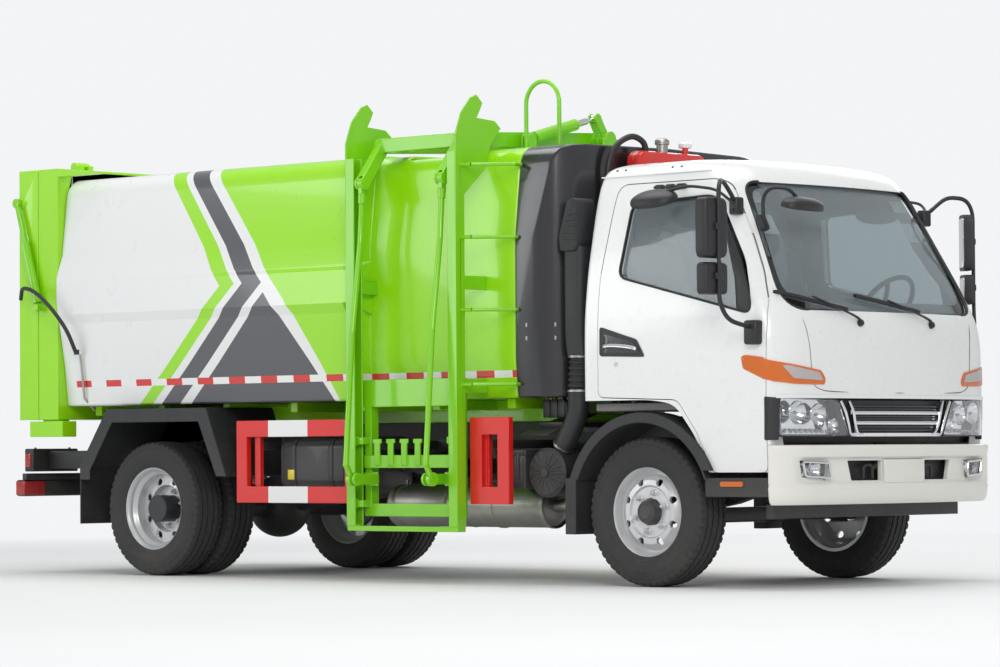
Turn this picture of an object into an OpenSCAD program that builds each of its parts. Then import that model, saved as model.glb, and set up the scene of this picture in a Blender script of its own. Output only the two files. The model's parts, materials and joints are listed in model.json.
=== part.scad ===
/* [Overall] */
// Length from the front bumper to the rear bumper
overall_length = 6350; // [6100:10:7600]
// Distance between the front and the rear axle
wheelbase = 3930; // [3800:10:4800]
// Front bumper to front axle
front_overhang = 1100; // [1080:10:1150]

/* [Wheels] */
// Outer diameter of every tyre
tyre_d = 838; // [760:2:860]
// Width of every tyre
tyre_w = 245; // [200:5:250]
// Diameter of the rim's outer edge
rim_d = 521; // [480:1:530]
// Distance between the outer faces of the front tyres
front_tyre_span = 1950; // [1900:10:1980]
// Distance between the outer faces of the rear tyres
rear_tyre_span = 2240; // [2180:10:2300]
// Gap between the two tyres of a rear pair
dual_gap = 35; // [25:1:60]

/* [Cab] */
// Width of the cab over the doors
cab_w = 1980; // [1900:10:2100]
// Height of the cab roof above the ground
cab_roof_z = 2400; // [2350:10:2600]
// Thickness of a cab door
door_t = 60; // [40:1:80]
// Thickness of the other cab walls
cab_wall = 40; // [25:1:55]
// Gap around each door
door_gap = 6; // [5:0.5:10]

/* [Body] */
// Width of the body over its side ribs
body_w = 2280; // [2200:10:2400]
// Height of the body roof above the ground
body_roof_z = 2530; // [2500:10:2700]
// Thickness of the body walls
body_wall = 50; // [20:1:80]
// Length of the ribless front section of the body
front_section_l = 1170; // [1150:10:1400]
// Depth of the rounded front head
head_l = 360; // [300:10:400]
// Thickness of the tailgate
tailgate_t = 184; // [120:2:190]
// Feed opening in the roof, along the truck
feed_l = 540; // [300:10:560]
// Feed opening in the roof, across the truck
feed_w = 960; // [600:10:1000]

/* [Lift] */
// Height of the swing arm's pivot above the body roof
arm_pivot_h = 110; // [100:5:160]
// Distance from the pivot to the pull rod pins, across the truck
arm_reach = 1320; // [1250:10:1400]
// Drop from the pivot to the pull rod pins
arm_drop = 290; // [250:5:320]
// Distance over the two rails, along the truck
rail_span = 900; // [880:10:1000]
// Width of a rail channel
rail_w = 70; // [60:1:90]
// Depth of a rail channel
rail_d = 75; // [60:1:90]
// Bin hooks on the carriage
hook_count = 4; // [2:1:6]

/* [Hidden] */
$fn = 48;

// Clearances
run_fit = 0.05;
seat_gap = 0.3;
move_gap = 6;

// Places along the truck are counted from the front axle, forward positive.
front_axle_x = overall_length / 2 - front_overhang;
rear_end = front_overhang - overall_length;
rear_axle = -wheelbase;
axle_z = tyre_d / 2;

// Chassis
rail_top = 940;
rail_bottom = 720;
frame_half = 400;
flange_w = 70;
frame_t = 8;
frame_front = 900;
frame_rear = rear_end + 130;
spring_y = 400;
spring_w = 70;

// Wheels
tyre_y_front = front_tyre_span / 2 - tyre_w / 2;
tyre_y_outer = rear_tyre_span / 2 - tyre_w / 2;
tyre_y_inner = tyre_y_outer - tyre_w - dual_gap;
bead_r = rim_d / 2 - 14;
kingpin_y = tyre_y_front - 78;
kingpin_r = 18;
eye_r = 45;
spindle_r = 40;
rear_spindle_r = 50;
stud_circle_r = 111;

// Cab
cab_half = cab_w / 2;
cab_front = 1045;
cab_rear = -440;
cab_floor = 1000;
cab_skirt = 630;
nose_z = 800;
belt_z = 1560;
arch_r = 560;
corner_r = 125;
corner_bow = 30;
door_front = 880;
door_rear = -330;
hinge_in = 4;
knuckle_r = 9;
hinge_pin_r = 4.5;
screen_top = [620, 2240];
screen_foot = [1030, 1500];
nose_panel_x = door_front + 40;

// Body
tailgate_rear = rear_end + 60;
gate_x = tailgate_rear + tailgate_t + move_gap;
frame_t_x = 190;
shell_rear = gate_x + frame_t_x;
body_front = -980;
section_x = body_front - front_section_l;
head_front = body_front + head_l;
body_floor = 1070;
rib_half = body_w / 2;
front_half = 960;
roof_rise = 12;
gate_half = 1120;
gate_bottom = 985;
gate_top = 2600;
gate_axis = [gate_x, gate_top + 35];
gate_pin_r = 15;
gate_eye_r = 29;

// Tailgate cylinders: base pin and rod pin, along and up
gate_base = [gate_x + 40, 1710];
gate_rod_pin = [gate_x - 170, 2390];
gate_cyl_y = [gate_half + 20, gate_half + 50];

// Lift
lift_x = -1650;
lift_front = lift_x + rail_span / 2;
lift_rear = lift_x - rail_span / 2;
rail_face = -1220;
rail_foot = 330;
plate_t = 10;
pivot_y = 120;
pivot_z = body_roof_z + arm_pivot_h;
elbow_y = pivot_y - arm_reach;
elbow_z = pivot_z - arm_drop;
arm_x = rail_span / 2 - 125;
arm_w = 60;
arm_h = 90;
rod_r = 17;
carriage_pin = [-1300, 605];
lever_pin = [pivot_y - 80, pivot_z + 120];
cyl_base = [pivot_y - 670, pivot_z - 35];
cyl_x = lift_x + arm_x + 92;
feed_y = -860;

// Basic solids given by their limits
module slab(x, y, z) {
  translate([x[0], y[0], z[0]])
    cube([x[1] - x[0], y[1] - y[0], z[1] - z[0]]);
}

module along_x(x) {
  translate([x[0], 0, 0])
    rotate([90, 0, 90])
      linear_extrude(x[1] - x[0]) children();
}

module along_y(y) {
  translate([0, y[1], 0])
    rotate([90, 0, 0])
      linear_extrude(y[1] - y[0]) children();
}

module along_z(z) {
  translate([0, 0, z[0]])
    linear_extrude(z[1] - z[0]) children();
}

module pin_x(x, at, r) {
  translate([x[0], at[0], at[1]])
    rotate([0, 90, 0]) cylinder(h = x[1] - x[0], r = r);
}

module pin_y(y, at, r) {
  translate([at[0], y[1], at[1]])
    rotate([90, 0, 0]) cylinder(h = y[1] - y[0], r = r);
}

module pin_z(z, at, r) {
  translate([at[0], at[1], z[0]]) cylinder(h = z[1] - z[0], r = r);
}

// Round bar from one point to another
module link(from, to, r) {
  span = to - from;
  size = norm(span);
  translate(from)
    rotate([0, acos(span[2] / size), atan2(span[1], span[0])])
      cylinder(h = size, r = r);
}

// Bent tube through a list of points, with a slightly proud ball at each bend
module bent_tube(points, r) {
  proud = 0.8;
  for (i = [0 : len(points) - 2]) link(points[i], points[i + 1], r);
  for (i = [1 : len(points) - 2]) translate(points[i]) sphere(r = r + proud);
}

// Flat bar of a given width between two points of a plane
module flat_link(from, to, w) {
  span = to - from;
  translate(from)
    rotate(atan2(span[1], span[0]))
      translate([0, -w / 2]) square([norm(span), w]);
}

module rounded_2d(lo, hi, r) {
  translate([lo[0] + r, lo[1]]) square([hi[0] - lo[0] - 2 * r, hi[1] - lo[1]]);
  translate([lo[0], lo[1] + r]) square([hi[0] - lo[0], hi[1] - lo[1] - 2 * r]);
  for (x = [lo[0] + r, hi[0] - r], y = [lo[1] + r, hi[1] - r])
    translate([x, y]) circle(r = r);
}

module both_sides() {
  children();
  mirror([0, 1, 0]) children();
}

module on_truck() {
  translate([front_axle_x, 0, 0]) children();
}

function arc(c, r, from, to, n = 8) =
  [for (i = [0 : n]) let (a = from + (to - from) * i / n)
    [c[0] + r * cos(a), c[1] + r * sin(a)]];

// Height of the slightly arched roof at a distance y from the middle
function roof_z(y) = body_roof_z + roof_rise * (1 - abs(y) / (front_half - 170));

// Closed outline from its half on the positive side
function mirrored(half) =
  concat(half, [for (i = [len(half) - 1 : -1 : 0]) [-half[i][0], half[i][1]]]);

// ---- chassis ----

module frame_rail() {
  difference() {
    slab([frame_rear, frame_front], [frame_half - flange_w, frame_half], [rail_bottom, rail_top]);
    slab([frame_rear - 1, frame_front + 1], [frame_half - flange_w - 1, frame_half - frame_t],
      [rail_bottom + frame_t, rail_top - frame_t]);
  }
}

module chassis_frame() {
  member_h = 120;
  member_l = 60;
  inner = frame_half - frame_t;
  members = [frame_rear, rear_axle - 620, rear_axle + 620, rear_axle + 1450,
    -1560, frame_front - member_l];
  color("#1c1d20") on_truck() {
    both_sides() frame_rail();
    for (x = members)
      slab([x, x + member_l], [-inner, inner], [rail_bottom + frame_t, rail_bottom + frame_t + member_h]);
    // Brackets that reach out from the frame to the side guards
    for (x = guard_bracket_x, s = [-1, 1])
      slab([x, x + 50], s > 0 ? [frame_half, 1060] : [-1060, -frame_half],
        [rail_bottom + 60, rail_bottom + 60 + 50]);
    // Front underrun beam with its two hangers
    slab([770, 830], [-850, 850], [385, 465]);
    both_sides() slab([770, 830], [340, 400], [465, rail_bottom]);
    // Tow eye on the front cross member, for a pin from below
    slab([frame_front, frame_front + 20], [-45, 45], [rail_bottom - 20, rail_bottom + 80]);
    difference() {
      slab([frame_front, frame_front + 110], [-45, 45], [rail_bottom - 30, rail_bottom - 6]);
      pin_z([rail_bottom - 40, rail_bottom], [frame_front + 70, 0], 22);
    }
  }
}

module engine() {
  sump = 560;
  engine_half = 270;
  box_half = 170;
  color("#3a3b3d") on_truck() {
    slab([-780, 430], [-engine_half, engine_half], [sump, 960]);
    slab([-1420, -780], [-box_half, box_half], [sump, 880]);
    // Feet that carry both blocks on the frame rails
    for (x = [-330, -1180], s = [-1, 1])
      slab([x, x + 80], s > 0 ? [box_half - 10, frame_half - frame_t] : [frame_t - frame_half, 10 - box_half],
        [740, 790]);
  }
}

// Leaf pack: a shallow arch between the two eyes on the frame
module leaf_pack(axle, half_l, seat_z) {
  rise = rail_bottom - 70 - seat_z;
  leaf_t = 16;
  top = [for (i = [-6 : 6]) let (u = i / 6) [axle + u * half_l, seat_z + leaf_t * 4 + rise * u * u]];
  low = [for (i = [6 : -1 : -6]) let (u = i / 6)
    [axle + u * half_l, seat_z + rise * u * u + (abs(u) > 0.6 ? leaf_t * 2.6 : 0)]];
  along_y([spring_y - spring_w / 2, spring_y + spring_w / 2]) polygon(concat(top, low));
  for (s = [-1, 1])
    slab([axle + s * half_l - 35, axle + s * half_l + 35],
      [spring_y - spring_w / 2, spring_y + spring_w / 2], [rail_bottom - 40, rail_bottom]);
}

module front_axle() {
  beam_half = 42;
  beam_z = [axle_z - 65, axle_z + 15];
  eye_z = [axle_z - 70, axle_z + 70];
  color("#232427") on_truck() {
    difference() {
      union() {
        slab([-beam_half, beam_half], [-kingpin_y + 20, kingpin_y - 20], beam_z);
        both_sides() pin_z(eye_z, [0, kingpin_y], eye_r);
      }
      both_sides() pin_z([0, 900], [0, kingpin_y], kingpin_r + run_fit);
    }
    both_sides() leaf_pack(0, 620, beam_z[1]);
    // Track rod behind the axle, between the two springs
    pin_y([-350, 350], [-150, axle_z - 60], 16);
    both_sides() slab([-160, -beam_half], [300, 330], [axle_z - 75, axle_z - 45]);
  }
}

module rear_axle() {
  tube_r = 68;
  bowl_r = 200;
  seat_z = axle_z + tube_r;
  color("#232427") on_truck() {
    union() {
      pin_y([-tyre_y_inner + 100, tyre_y_inner - 100], [rear_axle, axle_z], tube_r);
      translate([rear_axle, 0, axle_z]) sphere(r = bowl_r, $fn = 64);
      both_sides() pin_y([tyre_y_inner - 101, tyre_y_outer + 60], [rear_axle, axle_z], rear_spindle_r);
    }
    both_sides() leaf_pack(rear_axle, 700, seat_z);
    link([rear_axle + bowl_r - 12, 0, axle_z + 20], [-1428, 0, rail_bottom - 32], 45);
  }
}

// ---- wheels ----

// Tyre outline: half width across, radius up
module tyre_ring(y) {
  half = tyre_w / 2;
  outer = tyre_d / 2;
  shoulder = 26;
  bead = bead_r + 12;
  tread_half = half - 22;
  half_line = concat(
    [[0, outer], [tread_half - shoulder, outer - 3]],
    arc([tread_half - 8, outer - shoulder - 8], shoulder, 80, 10, 5),
    arc([half - 62, (outer + bead) / 2], 62, 38, -38, 6),
    [[half - 34, bead + 14], [half - 34, bead], [half - 60, bead - 6]]);
  translate([0, y, 0])
    rotate([90, 0, 0])
      rotate_extrude($fn = 96)
        polygon([for (p = mirrored(half_line)) [p[1], p[0]]]);
}

// Rim well, both flanges and a dished disc; the disc's offset is outward positive
module rim_ring(y, disc_y, hub_bore, dish) {
  half = tyre_w / 2 - 34 + 8 + seat_gap;
  lip = rim_d / 2;
  well = bead_r - 24;
  t = 9;
  hole_r = 21;
  hole_circle = well - 44;
  disc_out = well - t + 1;
  proud = dish > disc_y;
  wall_foot = stud_circle_r + (proud ? 30 : 23);
  wall_top = well - (proud ? 70 : 76);
  behind = proud ? -4 : 11;
  translate([0, y, 0])
    difference() {
      union() {
        rotate([90, 0, 0])
          rotate_extrude($fn = 96)
            polygon([[bead_r + 5.7, half - 8], [lip, half - 8], [lip, half + 4], [lip - 8, half + 4],
              [bead_r - t, half - 34], [well - t, half - 58], [well - t, 58 - half],
              [bead_r - t, 34 - half], [lip - 8, -half - 4], [lip, -half - 4], [lip, 8 - half],
              [bead_r + 5.7, 8 - half], [bead_r + 5.7, 34 - half],
              [well, 60 - half], [well, half - 60], [bead_r + 5.7, half - 34]]);
        rotate([90, 0, 0])
          rotate_extrude($fn = 96)
            polygon([[hub_bore, dish], [hub_bore, dish + 13], [wall_foot, dish + 13],
              [wall_top, disc_y + 12], [disc_out, disc_y], [disc_out, disc_y - 14],
              [wall_top + behind, disc_y - 2], [wall_foot + behind, dish]]);
      }
      for (i = [0 : 7])
        rotate([0, i * 45 + 22.5, 0])
          translate([hole_circle, 0, 0]) rotate([90, 0, 0]) cylinder(h = 400, r = hole_r, center = true);
    }
}

module tyre_front() {
  color("#17181a") on_truck() translate([0, 0, axle_z]) tyre_ring(-tyre_y_front);
}

// Front wheel: the disc bulges outward, and the hub carries the brake drum
module rim_front() {
  drum_r = 185;
  face = kingpin_y + eye_r + 14 + 30;
  color("#c9cbce") on_truck() translate([0, 0, axle_z]) {
    difference() {
      union() {
        rim_ring(-tyre_y_front, 30, 60, 62);
        pin_y([-tyre_y_front - 100, -face], [0, 0], 76);
        pin_y([-face - 60, -face], [0, 0], drum_r);
      }
      pin_y([-tyre_y_front - 70, -face + 1], [0, 0], spindle_r + run_fit);
    }
  }
}

module tyres_rear() {
  color("#17181a") on_truck() translate([rear_axle, 0, axle_z]) {
    tyre_ring(-tyre_y_outer);
    tyre_ring(-tyre_y_inner);
  }
}

// Rear wheels: two dished rims bolted back to back on one hub
module rims_rear() {
  drum_r = 128;
  mid = (tyre_y_outer + tyre_y_inner) / 2;
  dish = mid - tyre_y_outer;
  color("#c9cbce") on_truck() translate([rear_axle, 0, axle_z]) {
    difference() {
      union() {
        rim_ring(-tyre_y_outer, -22, 60, dish);
        mirror([0, 1, 0]) rim_ring(tyre_y_inner, -22, 60, dish);
        pin_y([-tyre_y_outer - 70, -tyre_y_inner + 60], [0, 0], 84);
        pin_y([-mid + 13, -tyre_y_inner + 60], [0, 0], drum_r);
      }
      pin_y([-tyre_y_outer - 60 - seat_gap, -tyre_y_inner + 61], [0, 0], rear_spindle_r + run_fit);
    }
  }
}

// Steering knuckle: a fork on the kingpin, and the spindle of the wheel
module knuckle() {
  eye_half = 70;
  ear_t = 15;
  wall_y = kingpin_y + eye_r + 6;
  wall_t = 22;
  color("#2a2b2e") on_truck() translate([0, 0, axle_z]) {
    for (s = [-1, 1]) {
      z = s * (eye_half + seat_gap);
      slab([-32, 32], [-wall_y - wall_t, -kingpin_y], s > 0 ? [z, z + ear_t] : [z - ear_t, z]);
      pin_z(s > 0 ? [z, z + ear_t] : [z - ear_t, z], [0, -kingpin_y], 32);
    }
    pin_z([-eye_half - ear_t, eye_half + ear_t], [0, -kingpin_y], kingpin_r);
    slab([-32, 32], [-wall_y - wall_t, -wall_y], [-eye_half - ear_t, eye_half + ear_t]);
    pin_y([-tyre_y_front - 70 + seat_gap, -wall_y - 1], [0, 0], spindle_r);
  }
}

// ---- cab ----

// Side outline of the cab, in by t from the outer skin
function cab_side(t) = [
  [cab_rear + t, cab_floor - 1], [cab_rear + t, cab_roof_z - 190 - t], [cab_rear + 60 + t, cab_roof_z - 60 - t],
  [cab_rear + 150 + t, cab_roof_z - t], [300, cab_roof_z + 12 - t], [540 - t, cab_roof_z - 60 - t],
  [screen_top[0] + 18 - t, screen_top[1] + 22 - t], [screen_foot[0] - t, screen_foot[1]],
  [cab_front - t, 1380], [cab_front - t, nose_z], [cab_front - t, cab_floor - 1]];

// Front outline of the cab: straight to the belt, leaning in above it
function cab_front_view(t) = mirrored([
  [cab_half - t, 0], [cab_half - t, belt_z], [cab_half - 30 - t, 1760], [cab_half - 120 - t, cab_roof_z - 190],
  [cab_half - 190 - t, cab_roof_z - 80], [cab_half - 300 - t, cab_roof_z - 24 - t], [0, cab_roof_z + 14 - t]]);

// Plan of the cab: rounded front corners
module cab_plan(t) {
  r = corner_r;
  x = cab_front - t;
  polygon(concat(
    [[cab_rear - 10, -cab_half + t]],
    arc([x - corner_bow - r, -cab_half + t + r], r, -90, -20, 8),
    [[x - 10, -cab_half * 0.4], [x, 0], [x - 10, cab_half * 0.4]],
    arc([x - corner_bow - r, cab_half - t - r], r, 20, 90, 8),
    [[cab_rear - 10, cab_half - t]]));
}

// The cab's outer volume, shrunk by t at the sides and s elsewhere
module cab_volume(t, s, floor_z) {
  intersection() {
    along_y([-cab_half - 5, cab_half + 5])
      polygon(concat([[cab_rear + s, floor_z]],
        [for (i = [1 : len(cab_side(s)) - 2]) cab_side(s)[i]], [[cab_front - s, floor_z]]));
    along_x([cab_rear - 50, cab_front + 50]) polygon(cab_front_view(t));
    along_z([floor_z, cab_roof_z + 60]) cab_plan(t);
  }
}

// Door outline in side view, grown by g
module door_outline(g) {
  polygon([[door_rear - g, cab_floor + 70 - g], [door_rear - g, 1700], [door_rear + 60 - g, cab_roof_z - 190 + g],
    [door_rear + 110 - g, cab_roof_z - 150 + g], [500 + g, cab_roof_z - 150 + g], [560 + g, cab_roof_z - 180 + g],
    [800 + g, 1860], [door_front + g, belt_z], [door_front + g, cab_skirt - g],
    [arch_r - 60 - g, cab_skirt - g], [arch_r - 150 - g, 860 - g], [250 - g, cab_floor + 50 - g]]);
}

// Door window outline, grown by g
module door_window(g) {
  polygon([[-190 - g, 1790 - g], [-150 - g, 2160 + g], [-130 - g, 2180 + g], [470 + g, 2180 + g], [520 + g, 2150 + g],
    [715 + g, 1800], [745 + g, 1600], [745 + g, 1545 - g], [725 + g, 1530 - g], [-130, 1725 - g]]);
}

module wheel_arches(r) {
  pin_y([-cab_half - 20, -400], [0, axle_z], r);
  pin_y([400, cab_half + 20], [0, axle_z], r);
}

module windscreen_outline(g) {
  r = 110;
  lo = [-730 - g, 1590 - g];
  polygon(mirrored(concat(
    [[0, lo[1]]],
    arc([-lo[0] - r, lo[1] + r], r, -90, 0, 6),
    arc([620 + g, 2205 + g - 60], 60, 0, 90, 4),
    [[0, 2215 + g]])));
}

module rear_window_outline(g) {
  rounded_2d([-480 - g, 1640 - g], [480 + g, 2060 + g], 60);
}

module screen_slot(g, depth) {
  intersection() {
    along_x([300, cab_front + 60]) windscreen_outline(g);
    difference() {
      cab_volume(-10, -10, belt_z - 60);
      cab_volume(depth, depth, belt_z - 80);
    }
  }
}

module cab_shell() {
  floor_t = 40;
  hinge_z = [720, 1340];
  color("#f4f5f4") on_truck() {
    difference() {
      union() {
        difference() {
          union() {
            cab_volume(0, 0, cab_floor);
            intersection() {
              cab_volume(0, 0, cab_skirt - 20);
              slab([arch_r - 80, cab_front + 50], [-cab_half, cab_half], [cab_skirt - 20, cab_floor + 10]);
            }
          }
          cab_volume(door_t, cab_wall, cab_floor + floor_t);
          // Space behind the nose, over the frame and beside the footwell
          intersection() {
            cab_volume(door_t, cab_wall, cab_skirt - 40);
            slab([arch_r - 90, cab_front], [-cab_half, cab_half], [cab_skirt - 40, cab_floor]);
          }
          both_sides() along_y([cab_half - door_t - 190, cab_half + 20]) door_outline(door_gap);
          screen_slot(0, 200);
          along_x([cab_rear - 20, cab_rear + 200]) rear_window_outline(0);
          wheel_arches(arch_r);
          // Recesses for the grille and the headlamps
          slab([nose_panel_x - seat_gap, cab_front + 60], [-cab_half - 5, cab_half + 5], [cab_skirt - 60, 1035]);
        }
        // Step wells inside the doors
        both_sides() {
          slab([arch_r - 40, door_front - 30], [cab_half - door_t - 230, cab_half - door_t - 20],
            [cab_skirt + 20, cab_skirt + 50]);
          slab([arch_r - 40, door_front - 30], [cab_half - door_t - 230, cab_half - door_t - 210],
            [cab_skirt + 20, cab_floor + 20]);
        }
        both_sides() for (z = hinge_z, s = [-1, 1])
          hull_free_knuckle(z + s * 30);
      }
      both_sides() for (z = hinge_z)
        pin_z([z - 15 - 1, z + 15 + 1], [door_front, cab_half - hinge_in], knuckle_r + 4);
    }
    both_sides() for (z = hinge_z)
      pin_z([z - 40, z + 40], [door_front, cab_half - hinge_in], hinge_pin_r);
  }
}

// Fixed hinge knuckle with its arm to the door pillar
module hull_free_knuckle(z) {
  pin_z([z - 14, z + 14], [door_front, cab_half - hinge_in], knuckle_r);
  slab([door_front, door_front + 20], [cab_half - hinge_in - knuckle_r, cab_half - hinge_in + 2], [z - 14, z + 14]);
}

// Line of the windscreen in side view, in by t from the skin
function screen_line(t) = [[screen_foot[0] - t, screen_foot[1]], [screen_top[0] + 18 - t, screen_top[1] + 22 - t]];

// Line of a side window in front view, in by t from the skin
function window_line(t) =
  [[cab_half - t, 1480], [cab_half - t, belt_z], [cab_half - 30 - t, 1760], [cab_half - 120 - t, cab_roof_z - 190]];

function band(near, far) = concat(near, [for (i = [len(far) - 1 : -1 : 0]) far[i]]);

module cab_glass() {
  glass_t = 6;
  color("#9fc0c4", 0.4) on_truck() {
    intersection() {
      along_x([300, cab_front + 60]) windscreen_outline(-seat_gap);
      along_y([-cab_half, cab_half]) polygon(band(screen_line(14), screen_line(14 + glass_t)));
    }
    along_x([cab_rear + 10, cab_rear + 10 + glass_t]) rear_window_outline(-seat_gap);
  }
}

// One cab door on the right side
module door() {
  hinge_z = [720, 1340];
  axis = [door_front, -(cab_half - hinge_in)];
  color("#f4f5f4") on_truck() difference() {
    union() {
      intersection() {
        difference() {
          cab_volume(0, 0, cab_skirt - 30);
          cab_volume(door_t, 20, cab_skirt - 60);
        }
        along_y([-cab_half - 5, -cab_half + 320]) door_outline(0);
      }
      for (z = hinge_z) pin_z([z - 15, z + 15], axis, knuckle_r);
    }
    along_y([-cab_half - 5, -cab_half + 330]) door_window(0);
    pin_y([-cab_half - 20, -400], [0, axle_z], arch_r + 8);
    for (z = hinge_z) {
      pin_z([z - 45, z + 45], axis, hinge_pin_r + run_fit);
      for (s = [-1, 1]) pin_z([z + s * 30 - 15, z + s * 30 + 15], axis, knuckle_r + 4);
    }
    // Recess behind the handle
    along_y([-cab_half - 5, -cab_half + 22])
      polygon([[-290, 1330], [-300, 1460], [-40, 1380], [0, 1300]]);
  }
}

module door_handle() {
  color("#c4c6c8") on_truck()
    slab([-255, -45], [-cab_half + 22, -cab_half + 36], [1352, 1374]);
}

module door_glass() {
  glass_t = 5;
  color("#9fc0c4", 0.4) on_truck()
    intersection() {
      along_y([-cab_half - 5, -cab_half + 330]) door_window(-seat_gap);
      mirror([0, 1, 0]) along_x([-400, door_front]) polygon(band(window_line(24), window_line(24 + glass_t)));
    }
}

module seat(y) {
  w = 480;
  slab([-240, 240], [y - w / 2, y + w / 2], [cab_floor + 180, cab_floor + 330]);
  along_y([y - w / 2, y + w / 2])
    polygon([[-240, cab_floor + 330], [-120, cab_floor + 330], [-230, 1990], [-340, 1990]]);
  slab([-200, 200], [y - w / 2 + 60, y + w / 2 - 60], [cab_floor + 40, cab_floor + 180]);
}

module cab_interior() {
  dash_half = cab_half - door_t - 110;
  color("#6f6a62") on_truck() {
    seat(-520);
    seat(520);
    seat(0);
    intersection() {
      along_y([-dash_half, dash_half])
        polygon([[700, 1200], [740, 1480], [820, 1545], [940, 1530], [cab_front, 1420], [cab_front, 1200]]);
      cab_volume(door_t + seat_gap, cab_wall + seat_gap, cab_floor);
    }
    slab([760, 880], [-dash_half, dash_half], [1100, 1200]);
    slab([860, 900], [-dash_half, dash_half], [cab_floor + 40, 1100]);
    // Steering column
    link(steer_point(260), steer_point(18 + seat_gap), 24);
  }
}

wheel_tilt = 54;
steer_top = [560, 520, 1575.5];

// Point on the steering column a distance below the wheel's centre
function steer_point(d) = steer_top + d * [sin(wheel_tilt), 0, -cos(wheel_tilt)];

module steering_wheel() {
  ring_r = 215;
  grip_r = 15;
  color("#2b2b2d") on_truck()
    translate(steer_top) rotate([0, -wheel_tilt, 0]) {
      rotate_extrude($fn = 64) translate([ring_r, 0]) circle(r = grip_r, $fn = 24);
      for (a = [90, 210, 330]) rotate([0, 0, a]) slab([35, ring_r - 5], [-16, 16], [-6, 6]);
      cylinder(h = 36, r = 50, center = true);
    }
}

module grille() {
  bar_x = [cab_front - 20, cab_front - 2];
  color("#aeb2b6") on_truck() {
    // Dark backing panel across the nose
    along_x([cab_front - 68, cab_front - 40])
      polygon([[-500, 1035 - seat_gap], [-402, 812], [402, 812], [500, 1035 - seat_gap]]);
    along_x([cab_front - 40, cab_front - 4]) difference() {
      polygon([[-500, 1034], [-395, 820], [395, 820], [500, 1034], [460, 1034], [370, 858], [-370, 858], [-460, 1034]]);
    }
    for (z = [905, 965])
      slab([cab_front - 40, cab_front - 6], [-430, 430], [z, z + 26]);
  }
}

module headlamp() {
  intersection() {
    cab_volume(2, 2, 700);
    along_x([cab_front - 330, cab_front + 40])
      polygon([[-499.5, 1030], [-cab_half - 5, 1030], [-cab_half - 5, 812], [-403.5, 812]]);
    slab([nose_panel_x, cab_front + 40], [-cab_half - 5, 0], [700, 1200]);
  }
}

module lamps() {
  color("#e9ecef") on_truck() {
    both_sides() {
      difference() {
        headlamp();
        cab_volume(90, 66, 690);
      }
      // Turn lamp on the nose corner, set into the skin
      intersection() {
        difference() {
          cab_volume(-6, -6, 1100);
          cab_volume(0, 0, 1090);
        }
        along_y([-cab_half - 10, -430])
          polygon([[door_front + door_gap + 9, 1262], [door_front + door_gap + 9, 1330], [cab_front + 20, 1270],
            [cab_front + 20, 1190]]);
      }
      // Tail lamps
      slab([rear_end + 60, rear_end + 160], [-1090, -700], [640, 790]);
    }
  }
}

// Bumper plan: wraps round the nose corners
module bumper_plan(t) {
  x = front_overhang - t;
  r = corner_r + 15;
  back = nose_panel_x - t / 6;
  side = cab_half + 5 - t;
  polygon(concat(
    [[back, -side]],
    arc([x - corner_bow - r, -side + r], r, -90, -20, 8),
    [[x - 8, -cab_half * 0.45], [x, 0], [x - 8, cab_half * 0.45]],
    arc([x - corner_bow - r, side - r], r, 20, 90, 8),
    [[back, side]]));
}

module bumpers() {
  wall = 30;
  color("#f1f0ec") on_truck() {
    difference() {
      along_z([480, 790]) bumper_plan(0);
      along_z([479, 760]) bumper_plan(wall);
      slab([0, cab_front - 80], [-cab_half + 30, cab_half - 30], [470, 800]);
      both_sides() {
        along_x([800, 1200]) polygon([[190, 700], [370, 700], [350, 590], [190, 590]]);
        along_x([800, 1200]) polygon([[600, 700], [790, 715], [770, 620], [640, 610]]);
      }
    }
    // Arms from the bumper to the frame ends
    both_sides() slab([frame_front, front_overhang - wall - 8], [340, 400], [735, 790 - wall]);
    // Rear underrun bar with its two hangers
    slab([rear_end, rear_end + 80], [-1100, 1100], [490, 600]);
    both_sides() {
      slab([rear_end + 80, rear_end + 140], [frame_half - 70, frame_half], [490, rail_bottom]);
      slab([rear_end + 60, rear_end + 100], [600, 1100], [600, 640]);
    }
  }
}

module windscreen_fittings() {
  color("#1d1e20") on_truck() difference() {
    screen_fittings_solid();
    cab_volume(-seat_gap, -seat_gap, belt_z - 300);
  }
}

module screen_fittings_solid() {
  union() {
    // Wipers, lying just above the glass
    for (y = [-330, 300]) {
      pin_x([cab_front - 22, cab_front + 24], [y, 1478], 14);
      link([cab_front + 16, y, 1478], [cab_front - 6, y - 300, 1592], 7);
      link([cab_front - 12, y - 80, 1572], [cab_front + 6, y - 560, 1604], 6);
    }
    // Convex mirror on its arm from the screen pillar
    bent_tube([[600, -790, 2130], [720, -790, 2235], [860, -740, 2205]], 9);
    translate([880, -700, 2180]) rotate([0, 20, 0]) cylinder(h = 40, r1 = 60, r2 = 95, center = true);
    slab([640, 680], [-810, -770], [2120, 2180]);
  }
}

// Front wheel arch, mudflap and sill, right side
module front_guard() {
  lip = 60;
  out = cab_half + 20;
  inner_r = arch_r - 62;
  difference() {
    pin_y([-out, -cab_half + 150], [0, axle_z], arch_r - 3);
    pin_y([-out - 1, -cab_half + 151], [0, axle_z], inner_r);
    slab([-700, 700], [-out - 1, 0], [-300, axle_z + 180]);
    slab([arch_r - 130, 700], [-out - 1, 0], [-300, cab_skirt + 20]);
  }
  difference() {
    pin_y([-out, -cab_half + 300], [0, axle_z], inner_r + 10);
    pin_y([-out - 1, -cab_half + 301], [0, axle_z], inner_r);
    slab([-700, 700], [-out - 1, 0], [-300, axle_z + 180]);
  }
  slab([-inner_r - 60, -inner_r + 20], [-out, -cab_half + 300], [290, axle_z + 190]);
  slab([arch_r - 96, door_front + 20], [-out + 10, -cab_half + 90], [505, cab_skirt - 20 - seat_gap]);
}

fender_top = 1045;

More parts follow.
